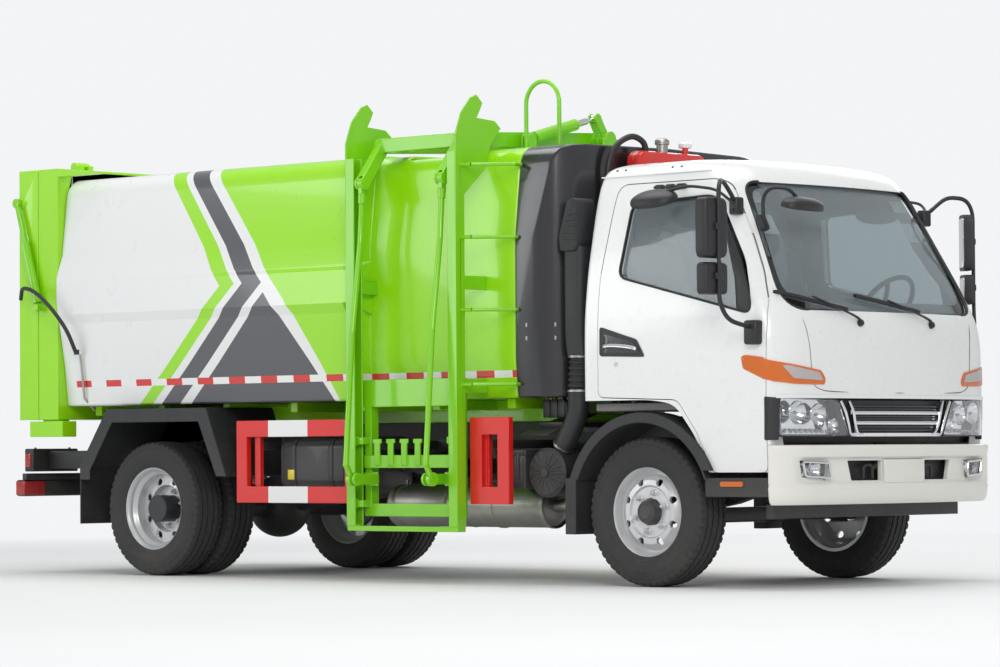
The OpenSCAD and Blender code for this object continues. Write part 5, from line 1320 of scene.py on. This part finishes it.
def rimPart(lipY, discY, dish):
    # section (radius, across) of lip, well and disc; across grows outward
    section = [(0.262, lipY), (0.265, lipY - 0.004), (0.265, lipY - 0.012), (0.25, lipY - 0.016),
        (0.248, lipY - 0.05), (0.225, lipY - 0.065), (0.225, lipY - 0.15), (0.248, lipY - 0.165),
        (0.248, lipY - 0.195), (0.262, lipY - 0.2), (0.262, lipY - 0.204), (0.24, lipY - 0.204),
        (0.238, lipY - 0.17), (0.216, lipY - 0.155)]
    disc = [(0.216, discY - 0.055), (0.205, discY - 0.03), (0.185, discY - 0.012), (0.16, discY - 0.008),
        (0.078, discY - 0.008), (0.078, discY + 0.0), (0.14, discY + 0.0), (0.15, discY + dish),
        (0.18, discY + dish * 0.8), (0.2, discY - 0.012), (0.214, discY - 0.032)]
    outer = [(0.224, min(discY - 0.035, lipY - 0.06)), (0.236, lipY - 0.045), (0.24, lipY - 0.02),
        (0.25, lipY - 0.006), (0.255, lipY)]
    return section + disc + outer + section[:1]


def wheelFace(lipY, discY, dish, centreY, holes, holeRadius):
    # across is measured outward from the tyre's centre; the right side's outward is -Y
    section = rimPart(lipY, discY, dish)
    part = latheOf(section, (0, centreY, axleZ), (0, -1, 0), 96)
    cutters = []
    for k in range(holes):
        a = 2 * math.pi * (k + 0.5) / holes
        spot = (handHoleCircle * math.cos(a), centreY + 0.2, axleZ + handHoleCircle * math.sin(a))
        cutters.append(latheOf([(holeRadius, 0), (holeRadius, 0.5)], spot, (0, -1, 0), 24))
    return carved("rim", part, [joined(*cutters)])


# sides and section (radius, height) of each nut's washer, of the nut and of its stud
nutSections = [
    (20, [(0.001, -0.001), (0.021, -0.001), (0.021, 0.003), (0.017, 0.006), (0.001, 0.006)]),
    (6, [(0.0155, 0.005), (0.0155, 0.024), (0.012, 0.028), (0.001, 0.028)]),
    (12, [(0.001, 0.027), (0.0085, 0.027), (0.0085, 0.04), (0.006, 0.043), (0.001, 0.043)]),
]
studCircle = 0.111
handHoleCircle = 0.176


def hubParts(faceY, capRadius, capReach, studs):
    cap = latheOf([(0.001, capReach), (capRadius * 0.55, capReach), (capRadius * 0.62, capReach - 0.004),
        (capRadius * 0.9, capReach - 0.01), (capRadius, capReach - 0.022), (capRadius + 0.004, 0.004),
        (capRadius + 0.008, 0.0), (0.001, -0.002)], (0, faceY, axleZ), (0, -1, 0), 40)
    places = [(studCircle * math.cos(a), faceY, axleZ + studCircle * math.sin(a))
        for a in np.arange(studs) * 2 * math.pi / studs + 0.3]
    nuts = joined(*[latheOf(profile, p, (0, -1, 0), count) for p in places
        for count, profile in nutSections])
    return cap, nuts


frontRim = wheelFace(0.1, 0.062, 0.012, wheelPlace["front"], 8, 0.02)
frontCap, frontNuts = hubParts(wheelPlace["front"] - 0.062, 0.068, 0.055, 6)
rearRim = wheelFace(0.1, -0.06, 0.01, wheelPlace["rearOuter"], 8, 0.024)
rearHub = [moved(part, wheelPlace["rearAxle"])
    for part in hubParts(wheelPlace["rearOuter"] + 0.06, 0.074, 0.075, 6)]
rearRim.transform(Matrix.Translation(wheelPlace["rearAxle"]))
rims = {"right": (frontRim, rearRim), "left": (mirroredMesh(frontRim), mirroredMesh(rearRim))}
for side, _, flip in sides:
    front, rear = "wheel_front_" + side, "wheels_rear_" + side
    rimPieces = [addObject("rimFront" + side, rims[side][0], rimPaint, front, 30,
        ("rim_front_" + side,)), addObject("rimRear" + side, rims[side][1], rimPaint, rear,
        30)]
    for piece in rimPieces:
        bevelled(piece, 0.0015, 2, 40)
    addPiece("hubCap" + side, flip(frontCap), tankPaint, front)
    addPiece("wheelNuts" + side, flip(frontNuts), rimPaint, front)
    addPiece("hubRear" + side, flip(rearHub[0]), tankPaint, rear)
    addPiece("nutsRear" + side, flip(rearHub[1]), rimPaint, rear)
print("wheels made")


# mirrors and wipers

mirrorSetup = {"tube": 0.0125, "turnIn": -34, "hinge": (0.735, -1.235, 1.9), "drawFrom": -0.93,
    "drawBy": 0.62}


def mirrorHead(centre, halves):
    # soft box cut flat toward the driver
    points, faces = blobOf(centre, halves, 0.28, 22, 36)
    points[:, 0] = np.maximum(points[:, 0], centre[0] - halves[0] * 0.25)
    return points, faces


def domeOf(halves, power, floor):
    # superellipsoid cut flat below
    points, faces = blobOf((0, 0, 0), halves, power, 18, 36)
    points[:, 2] = np.maximum(points[:, 2], floor)
    return points, faces


mainHead = mirrorHead((0.7, -1.235, 1.968), (0.06, 0.098, 0.165))
wideHead = mirrorHead((0.7, -1.23, 1.692), (0.056, 0.096, 0.088))
clampParts = joined(boxOf((0.735, -1.262, 1.955), (0.775, -1.202, 1.992), 0.006),
    boxOf((0.735, -1.262, 1.685), (0.775, -1.202, 1.722), 0.006))
armPath = filletPath([(0.59, -0.87, 2.115), (0.612, -0.93, 2.165), (0.655, -1.06, 2.235),
    (0.735, -1.185, 2.225), (0.765, -1.232, 2.15), (0.765, -1.232, 1.56), (0.79, -1.19, 1.465),
    (0.815, -1.07, 1.435), (0.822, -0.99, 1.43)], 0.06, 8)
armTube = sweepOf(armPath, circleOf(mirrorSetup["tube"], 14))
armBase = boxOf((0.775, -1.045, 1.335), (0.865, -0.975, 1.468), 0.014, 0.014)
topBase = joined(boxOf((0.565, -0.902, 2.06), (0.625, -0.835, 2.155), 0.01, 0.012),
    studsOf([(0.595, -0.902, 2.085), (0.595, -0.902, 2.13)], (0, -1, 0.2), 0.009, 0.008))
kerb = moved(turned(domeOf((0.15, 0.095, 0.055), 0.85, -0.012), (0, 0, 0), "X", math.radians(24)),
    (0.15, -1.045, 2.15))
kerbArm = sweepOf(filletPath([(0.6, -0.9, 2.12), (0.52, -0.95, 2.2), (0.36, -1.0, 2.225),
    (0.22, -1.04, 2.195)], 0.05, 6), circleOf(0.0085, 10))
clipRow = joined(*[boxOf((x, -0.888, 2.222), (x + 0.055, -0.858, 2.252), 0.008) for x in (0.02, 0.1, 0.18)],
    sweepOf([(0.01, -0.876, 2.238), (0.25, -0.88, 2.236)], circleOf(0.008, 8)))
mirrorFixed = joined(armTube, armBase, topBase, kerb, kerbArm, clipRow)
mirrorHeads = joined(mainHead, wideHead, clampParts)


def drawnIn(part, side, heads=False):
    # the driver's mirror stands nearer the door and its heads are turned toward the driver
    if side == "right":
        return part
    if heads:
        part = turned(part, mirrorSetup["hinge"], "Z", math.radians(mirrorSetup["turnIn"]))
    points = np.array(part[0], float)
    across, start = points[:, 1], mirrorSetup["drawFrom"]
    points[:, 1] = np.where(across < start, start + (across - start) * mirrorSetup["drawBy"], across)
    return mirroredPart((points, part[1]))


mirrorFaces = joined(slabOf(roundedRect((-1.318, 1.825), (-1.152, 2.112), 0.03, 4), 0.682, 0.6865, placeX,
    0.001), slabOf(roundedRect((-1.312, 1.622), (-1.148, 1.762), 0.03, 4), 0.683, 0.6875, placeX, 0.001))
for side in ("right", "left"):
    addPiece("mirror_" + side + "Skin", joined(drawnIn(mirrorFixed, side),
        drawnIn(mirrorHeads, side, True)), trimBlack, "door_" + side, 32, ("mirror_" + side,))
    addPiece("mirror_" + side + "Glass", drawnIn(mirrorFaces, side, True), mirrorGlass, "door_" + side)

convex = moved(turned(domeOf((0.075, 0.155, 0.055), 0.8, -0.01), (0, 0, 0), "Y", math.radians(14)),
    (0.895, -0.665, 2.095))
convexArm = sweepOf(filletPath([(0.735, -0.805, 2.02), (0.725, -0.8, 2.15), (0.77, -0.79, 2.205),
    (0.85, -0.73, 2.2), (0.893, -0.67, 2.12)], 0.04, 8), circleOf(0.0105, 12))
convexBase = turned(boxOf((0.712, -0.835, 1.965), (0.752, -0.775, 2.055), 0.01, 0.012), (0.73, -0.8, 2.0),
    "Y", math.radians(-24))
addPiece("convexMirror", joined(convex, convexArm, convexBase), trimBlack,
    replaces=("windscreen_fittings",))


def wiperPart(pivotS, reach, tilt):
    # arm from the pivot cap, and a blade with its rubber along the glass
    pivot = spotOn(frontSurface, pivotS, 1.462, 0.012)
    elbow = spotOn(frontSurface, pivotS + reach * 0.12, 1.5, 0.03)
    tip = spotOn(frontSurface, pivotS + reach * 0.62, 1.592 + tilt, 0.034)
    arm = sweepOf(smoothPath([pivot, elbow, tip], 16), barSection(0.01, 0.005, 0.004, 2),
        np.linspace(1.1, 0.7, 16))
    bladeS = np.linspace(pivotS + reach * 0.16, pivotS + reach * 1.02, 16)
    bladeZ = np.linspace(1.535, 1.615 + tilt, 16)
    rail = sweepOf(frontSurface(np.c_[bladeS, bladeZ], 0.018), barSection(0.006, 0.009, 0.004, 2))
    rubber = sweepOf(frontSurface(np.c_[bladeS, bladeZ], 0.002), barSection(0.003, 0.01, 0.002, 2))
    cap = latheOf([(0.001, -0.03), (0.018, -0.03), (0.02, -0.005), (0.016, 0.01), (0.008, 0.014),
        (0.001, 0.015)], pivot, (0.95, 0, 0.3), 24)
    return joined(arm, rail, rubber, cap)


addPiece("wipers", joined(wiperPart(-0.33, 0.62, 0.0), wiperPart(0.33, 0.56, 0.01)), trimBlack)
print("mirrors and wipers made")


# cab inside

def cushion(name, part):
    piece = addPiece(name, part, seatCloth, "truck", 60)


def crowned(centre, halves, crown):
    # soft block: superellipsoid whose top swells a little
    points, faces = blobOf(centre, halves, 0.32, 24, 40)
    local = (points - centre) / halves
    points[:, 2] += crown * np.clip(local[:, 2], 0, 1) * (1 - local[:, 0] ** 2) * (1 - local[:, 1] ** 2)
    return points, faces


seatSetup = {"places": (("Right", -0.55), ("Middle", 0.0), ("Left", 0.55)), "crown": 0.02, "lean": -12,
    "seat": (0.245, 0.24, 0.0725), "back": (0.062, 0.235, 0.325)}
seatBack = turned(blobOf((0, 0, 0), seatSetup["back"], 0.36, 24, 40), (0, 0, 0), "Y",
    math.radians(seatSetup["lean"]))
for name, y in seatSetup["places"]:
    cushion("seatCushion" + name, crowned(np.array([0.0, y, 1.2625]), np.array(seatSetup["seat"]),
        seatSetup["crown"]))
    cushion("seatBack" + name, moved(seatBack, (-0.245, y, 1.645)))
seatBases = joined(*[boxOf((-0.2, y - 0.18, 1.028), (0.2, y + 0.18, 1.2), 0.01)
    for _, y in seatSetup["places"]])
dashLine = roundedShape([(0.7, 1.2), (0.735, 1.46), (0.79, 1.535), (0.86, 1.545), (0.93, 1.5), (0.955, 1.4),
    (0.955, 1.16), (0.78, 1.1)], 0.04, 4)
dash = slabOf(dashLine, -0.8, 0.8, placeY, 0.02)
column = sweepOf([(0.6, 0.52, 1.54), (0.86, 0.52, 1.355)], circleOf(0.032, 16))
pods = joined(boxOf((0.71, 0.38, 1.5), (0.8, 0.66, 1.575), 0.02, 0.03),
    boxOf((0.722, -0.17, 1.3), (0.745, 0.17, 1.44), 0.008))
addPiece("cabInside", joined(seatBases, dash, column, pods), dashPlastic,
    replaces=("cab_interior",))
print("cab inside made")


# between cab and body

ductSection = barSection(0.058, 0.07, 0.035, 5)
ductPath = smoothPath([(-0.54, -0.905, 1.93), (-0.545, -0.905, 1.7), (-0.545, -0.905, 1.42),
    (-0.535, -0.9, 1.3)], 50)
duct = sweepOf(ductPath, ductSection, 1.0 - 0.1 * np.linspace(0, 1, 50))
snorkel = slabOf(roundedShape([(-0.612, 1.9), (-0.62, 1.985), (-0.555, 2.195), (-0.505, 2.205),
    (-0.478, 2.19), (-0.478, 1.95), (-0.5, 1.9)], 0.02, 4), -0.985, -0.825, placeY, 0.012)
snorkelRibs = joined(*[boxOf((-0.6 + 0.012 * k, -0.99, 1.965 + 0.036 * k),
    (-0.485, -0.983, 1.977 + 0.036 * k), 0.002) for k in range(5)])
bellowsLine = np.linspace((-0.535, -0.9, 1.3), (-0.545, -0.9, 1.1), 61)
bellows = sweepOf(bellowsLine, circleOf(0.058, 28), 1.0 + 0.1 * np.cos(np.linspace(0, 12 * math.pi, 61)))
elbowPath = smoothPath([(-0.545, -0.9, 1.105), (-0.555, -0.9, 0.98), (-0.605, -0.905, 0.87),
    (-0.665, -0.91, 0.775)], 40)
elbow = sweepOf(elbowPath, circleOf(0.06, 28))
clampSection = [(0.06, -0.006), (0.066, -0.006), (0.066, 0.006), (0.06, 0.006), (0.06, -0.006)]
clampPlaces = (((-0.535, -0.9, 1.3), (0, 0, 1)), ((-0.545, -0.9, 1.105), (0, 0, 1)),
    ((-0.655, -0.909, 0.79), (0.6, 0, 0.8)))
clampRings = joined(*[latheOf(clampSection, place, axis, 32) for place, axis in clampPlaces])


def filterWave(radius, shift, angle):
    # radial ribs on the flat face
    rib = 0.5 + 0.5 * np.cos(angle * 16)
    return radius, shift + np.where((radius > 0.03) & (radius < 0.125) & (shift > 0.1), 0.006 * (rib > 0.6),
        0)


filterSection = [(0.001, -0.115), (0.125, -0.115), (0.135, -0.1), (0.135, 0.085), (0.142, 0.088),
    (0.142, 0.104), (0.134, 0.108), (0.124, 0.118), (0.08, 0.12), (0.045, 0.121), (0.028, 0.124),
    (0.024, 0.135), (0.001, 0.137)]
airFilter = latheOf(filterSection, (-0.7, -0.895, 0.64), (0, -1, 0), 96, filterWave)
addPiece("airIntake", joined(duct, snorkel, snorkelRibs, bellows, elbow, airFilter), guardBlack,
    replaces=("air_intake",))
addPiece("intakeClamps", clampRings, steel)

oilTank = slabOf(roundedRect((-0.428, 2.182), (0.188, 2.503), 0.06, 6), -0.588, -0.482, placeX, 0.02)
oilTank = joined(oilTank, *[slabOf(roundedRect((-0.43, 2.18), (0.19, 2.505), 0.062, 6), x, x + 0.01, placeX,
    0.003) for x in (-0.566, -0.514)])
tankStand = joined(*[boxOf((-0.56, s * 0.37 - 0.03, 0.94), (-0.5, s * 0.37 + 0.03, 2.0), 0.006)
    for s in (-1, 1)], boxOf((-0.56, -0.43, 2.0), (-0.5, 0.4, 2.184), 0.008))
upward = (0, 0, 1)
fillerSpot = (-0.535, -0.16, 2.503)
breatherSpot = (-0.535, 0.05, 2.503)
fillerNeck = [(0.001, -0.01), (0.034, -0.01), (0.034, 0.045), (0.042, 0.048), (0.042, 0.054),
    (0.001, 0.054)]
fillerCap = [(0.001, 0.05), (0.041, 0.05), (0.043, 0.056), (0.041, 0.074), (0.032, 0.082), (0.018, 0.086),
    (0.001, 0.087)]
breatherCap = [(0.001, 0.038), (0.034, 0.038), (0.038, 0.044), (0.038, 0.064), (0.03, 0.071),
    (0.001, 0.072)]
filler = joined(latheOf(fillerNeck, fillerSpot, upward, 32),
    latheOf(fillerCap, fillerSpot, upward, 32, fluted(12, 0.03, 0.038)))
breather = latheOf(breatherCap, breatherSpot, upward, 28, fluted(14, 0.04, 0.033))
addPiece("oilTank", joined(oilTank, rodOf(0.018, -0.01, 0.045, breatherSpot, upward)), oilPaint,
    replaces=("hydraulics",))
addPiece("tankStand", tankStand, chassisPaint)
addPiece("oilFiller", filler, steel)
addPiece("oilBreather", breather, whitePaint)
spools = 0.058 * np.arange(3)   # places of the three spools along the valve block
plugSection = [(0.013, -0.02), (0.013, 0.02), (0.016, 0.022), (0.016, 0.035), (0.001, 0.036)]
valveBody = joined(*[boxOf((-0.895 + s, -0.82, 0.957), (-0.845 + s, -0.6, 1.06), 0.006) for s in spools],
    boxOf((-0.9, -0.81, 0.97), (-0.72, -0.62, 1.045), 0.006),
    *[latheOf(plugSection, (-0.87 + s, -0.66, 1.06), upward, 6) for s in spools])
levers = joined(*[tubeOf([(-0.87 + s, -0.8, 1.05), (-0.875 + s, -0.835, 1.12), (-0.88 + s, -0.855, 1.185)],
    0.006, 10, 12) for s in spools])
leverKnobs = joined(*[blobOf((-0.881 + s, -0.858, 1.198), (0.014, 0.014, 0.018), 1.0, 12, 16)
    for s in spools])
shelf = joined(turned(boxOf((-0.925, -1.005, 0.905), (-0.7, -0.56, 0.915), 0.002), (-0.8, -0.8, 0.91), "X",
    math.radians(16)), boxOf((-0.9, -0.85, 0.9), (-0.72, -0.39, 0.93), 0.004),
    boxOf((-0.83, -0.72, 0.92), (-0.79, -0.68, 0.96), 0.003))
addPiece("valveBlock", valveBody, castIron)
addPiece("valveLevers", levers, steel)
addPiece("leverKnobs", leverKnobs, trimBlack)
addPiece("valveShelf", shelf, chassisPaint)
fittings = []
for x, y in ((-0.885, -0.76), (-0.835, -0.74), (-0.785, -0.72), (-0.735, -0.7)):
    bend = [(x, y, 1.08), (x, y, 1.15), (x + 0.02, y - 0.02, 1.2), (x + 0.075, y - 0.02, 1.21)]
    fittings += [rodOf(0.012, -0.01, 0.03, (x, y, 1.055), upward, 6), tubeOf(bend, 0.008, 10, 24)]
addPiece("valveFittings", joined(*fittings), brass)
valveHoses = []
for k, x in enumerate((-0.87, -0.812, -0.754)):
    run = [(x, -0.64, 1.09), (x + 0.01, -0.6, 1.16), (x + 0.06, -0.5, 1.17), (-0.66 + 0.03 * k, -0.4, 1.05),
        (-0.64 + 0.03 * k, -0.36, 0.93)]
    valveHoses.append(tubeOf(run, 0.011, 12, 40))
tankHose = tubeOf([(-0.535, -0.3, 2.495), (-0.54, -0.33, 2.56), (-0.55, -0.42, 2.585),
    (-0.565, -0.53, 2.53), (-0.575, -0.59, 2.42), (-0.58, -0.6, 2.25), (-0.58, -0.6, 1.9),
    (-0.58, -0.58, 1.3), (-0.6, -0.52, 1.0)], 0.018, 14, 90)
addPiece("hydraulicHoses", joined(*valveHoses, tankHose), hoseRubber)
print("parts behind the cab made")


# tanks and exhaust under the body

def drumPart(low, high, y, z, radius, dome=0.03, count=48):
    # drum along the truck with domed ends and two rolled beads
    span = high - low
    profile = [(0.001, -0.001), (radius * 0.6, 0.004), (radius * 0.88, dome * 0.55), (radius, dome),
        (radius + 0.003, dome + 0.006), (radius, dome + 0.012), (radius, span * 0.5 - 0.01),
        (radius + 0.003, span * 0.5), (radius, span * 0.5 + 0.01), (radius, span - dome - 0.012),
        (radius + 0.003, span - dome - 0.006), (radius, span - dome), (radius * 0.88, span - dome * 0.55),
        (radius * 0.6, span - 0.004), (0.001, span + 0.001)]
    return latheOf(profile, (low, y, z), (1, 0, 0), count)


def strapOn(x, y, z, radius, width=0.04):
    ring = latheOf([(radius, 0), (radius + 0.005, 0.003), (radius + 0.005, width - 0.003), (radius, width),
        (radius, 0)], (x, y, z), (1, 0, 0), 48)
    lug = boxOf((x, y - 0.012, z + radius - 0.004), (x + width, y + 0.012, z + radius + 0.03), 0.003)
    return joined(ring, lug)


fuelBox = {"low": (-0.995, 0.535), "high": (-0.41, 0.855), "corner": 0.07}


def fuelSlab(grow, near, far, edge):
    # the fuel tank's section grown by a little, between two places along the truck
    low, high = fuelBox["low"], fuelBox["high"]
    section = roundedRect((low[0] - grow[0], low[1] - grow[0]), (high[0] + grow[1], high[1] + grow[1]),
        fuelBox["corner"] + grow[2], 8)
    return slabOf(section, near, far, placeX, edge)


fuelTank = fuelSlab((0, 0, 0), -2.895, -2.335, 0.016)
fuelSeams = joined(*[fuelSlab((0.003, 0.003, 0.002), x, x + 0.01, 0.003) for x in (-2.88, -2.36)])
fuelStraps = joined(*[fuelSlab((0.005, 0.005, 0.004), x, x + 0.042, 0.002) for x in (-2.8, -2.48)])
fuelCapSection = [(0.001, 0), (0.043, 0), (0.043, 0.03), (0.045, 0.034), (0.045, 0.048), (0.038, 0.056),
    (0.001, 0.057)]
fuelCap = latheOf(fuelCapSection, (-2.8, -0.88, 0.858), upward, 48, fluted(14, 0.03, 0.044))
airDrum = drumPart(-2.9, -2.2, 0.62, 0.64, 0.117)
airStraps = joined(*[strapOn(x, 0.62, 0.64, 0.117) for x in (-2.8, -2.36)])
tankBrackets = joined(*[boxOf((x, inner, 0.64), (x + 0.04, outer, 0.8), 0.004)
    for inner, outer in ((-0.56, -0.4), (0.38, 0.56)) for x in (-2.8, -2.3)])
airFittings = joined(studsOf([(-2.55, 0.62, 0.756), (-2.7, 0.62, 0.756)], (0, 0, 1), 0.014, 0.022, 6),
    tubeOf([(-2.55, 0.62, 0.775), (-2.55, 0.6, 0.8), (-2.5, 0.5, 0.8), (-2.45, 0.4, 0.79)], 0.006, 10, 20))
batteryBox = joined(boxOf((-1.125, -0.975, 0.545), (-0.895, -0.395, 0.745), 0.006, 0.012),
    boxOf((-1.13, -0.98, 0.735), (-0.89, -0.39, 0.772), 0.006, 0.014),
    *[boxOf((-1.06 + 0.1 * k, -0.982, 0.6), (-1.04 + 0.1 * k, -0.972, 0.75), 0.002) for k in range(2)])
addPiece("fuelTank", joined(fuelTank, fuelSeams, fuelCap, batteryBox), tankPaint,
    replaces=("side_tanks",))
addPiece("airTank", airDrum, tankPaint)
addPiece("tankStraps", joined(fuelStraps, airStraps, tankBrackets), chassisPaint)
addPiece("airFittings", airFittings, steel)
addPiece("blankLabel", boxOf((-2.825, -1.0015, 0.6), (-2.765, -0.9935, 0.66), 0.0006, 0.006), labelYellow)
canister = drumPart(-2.255, -0.965, -0.62, 0.44, 0.124, 0.02, 64)
canisterBands = joined(*[strapOn(x, -0.62, 0.44, 0.124, 0.03) for x in (-2.2, -1.78, -1.4, -1.0)])
hangers = joined(*[boxOf((x, -0.545, 0.52), (x + 0.04, -0.4, 0.76), 0.003) for x in (-2.1, -1.2)])
tailPipe = sweepOf(filletPath([(-0.98, -0.62, 0.44), (-0.84, -0.62, 0.46), (-0.72, -0.45, 0.52),
    (-0.55, -0.3, 0.56)], 0.08, 8), circleOf(0.036, 24))
addPiece("exhaustCanister", joined(canister, canisterBands, tailPipe), steel)
addPiece("canisterHangers", hangers, chassisPaint)
print("tanks made")


# reflectors, belt and hoses on the body

def skinTree(node):
    mesh = frame["nodes"][node].data
    return BVHTree.FromPolygons([v.co[:] for v in mesh.vertices], [p.vertices[:] for p in mesh.polygons])


sideTrees = {node: skinTree(node) for node in ("tank_shell", "front_head", "tailgate", "mudguards",
    "cab_shell", "chassis_frame", "bumpers")}


def sideAt(node, x, z):
    # y of a CAD node's right side, met by a line coming in from outside
    hit = sideTrees[node].ray_cast((x + axleX, -3.0, z), (0, 1, 0))[0]
    return hit.y if hit is not None else 0.0


def laidOn(node, outline, thick):
    # thin plate that follows the side of a CAD node
    outline = np.asarray(outline, float)
    sides = np.array([sideAt(node, x, z) for x, z in outline])
    inner = np.c_[outline[:, 0], sides + 0.002, outline[:, 1]]
    outer = np.c_[outline[:, 0], sides - thick, outline[:, 1]]
    return np.vstack([inner, outer]), cappedQuads(2, len(outline))


sillNode = min(("mudguards", "cab_shell", "chassis_frame", "bumpers"),
    key=lambda node: sideAt(node, 0.65, 0.576))
bothSides("sillMarker", laidOn(sillNode, roundedRect((0.575, 0.562), (0.735, 0.59), 0.01, 4), 0.008),
    orangeLens)
headMarks = joined(*[laidOn("front_head", roundedRect((-0.895, z), (-0.72, z + 0.022), 0.004, 4), 0.003)
    for z in (1.402, 1.478)])
bothSides("headReflector", headMarks, reflector)

# raised belt along the body side: out over the upper slope, flat, and back in over the lower one
beltShape = {"from": -4.845, "to": -2.13, "upper": (1.905, 1.85), "lower": (1.655, 1.585), "reach": 0.02,
    "ramp": 0.06}
beltX = np.linspace(beltShape["from"], beltShape["to"], 40)
beltZ = np.array([beltShape["upper"][0], beltShape["upper"][1], beltShape["lower"][0],
    beltShape["lower"][1]])
beltOut = np.array([-0.004, beltShape["reach"], beltShape["reach"], -0.004])
beltSides = np.array([[sideAt("tank_shell", x, z) for x in beltX] for z in beltZ])
crest = np.median(beltSides[1:3]) - beltShape["reach"]
rise = np.clip((beltX - beltShape["from"]) / beltShape["ramp"], 0.0, 1.0)
beltOuter = np.where(beltOut[:, None] > 0, beltSides + rise * (crest - beltSides),
    beltSides - beltOut[:, None])
beltPoints = np.stack([np.tile(beltX, (4, 1)), beltOuter, np.tile(beltZ[:, None], (1, 40))], -1)
beltInner = beltPoints.copy()
beltInner[:, :, 1] = beltSides + 0.012
beltRings = np.concatenate([beltPoints, beltInner[::-1]])
beltFaces = gridQuads(8, 40, wrapRows=True).tolist() + [[r * 40 for r in range(8)],
    [r * 40 + 39 for r in range(8)][::-1]]
bothSides("bodyBelt", (beltRings.reshape(-1, 3), beltFaces), bodyPaint, smoothAngle=12)
hosePath = [(-5.1, 1.765), (-5.04, 1.83), (-4.9, 1.8), (-4.76, 1.7), (-4.66, 1.56), (-4.62, 1.4)]
hoseRun = [(x, sideAt("tank_shell", max(x, -4.8), z) - 0.045 - 0.05 * math.sin(math.pi * k / 5), z)
    for k, (x, z) in enumerate(hosePath)]
pipeRun = [(-4.62, sideAt("tank_shell", -4.62, z) - 0.016, z) for z in np.linspace(1.4, 1.2, 8)]
pipeRun += [(-4.62, pipeRun[-1][1] + 0.01, 1.12), (-4.6, pipeRun[-1][1] + 0.08, 1.04)]
bothSides("gateHose", joined(tubeOf(hoseRun, 0.013, 12, 60),
    rodOf(0.018, -0.002, 0.03, hoseRun[-1], (0, 0, 1), 6)), hoseRubber)
bothSides("gatePipe", sweepOf(np.array(pipeRun), circleOf(0.0075, 10)), steel)
print("reflectors and hoses made")
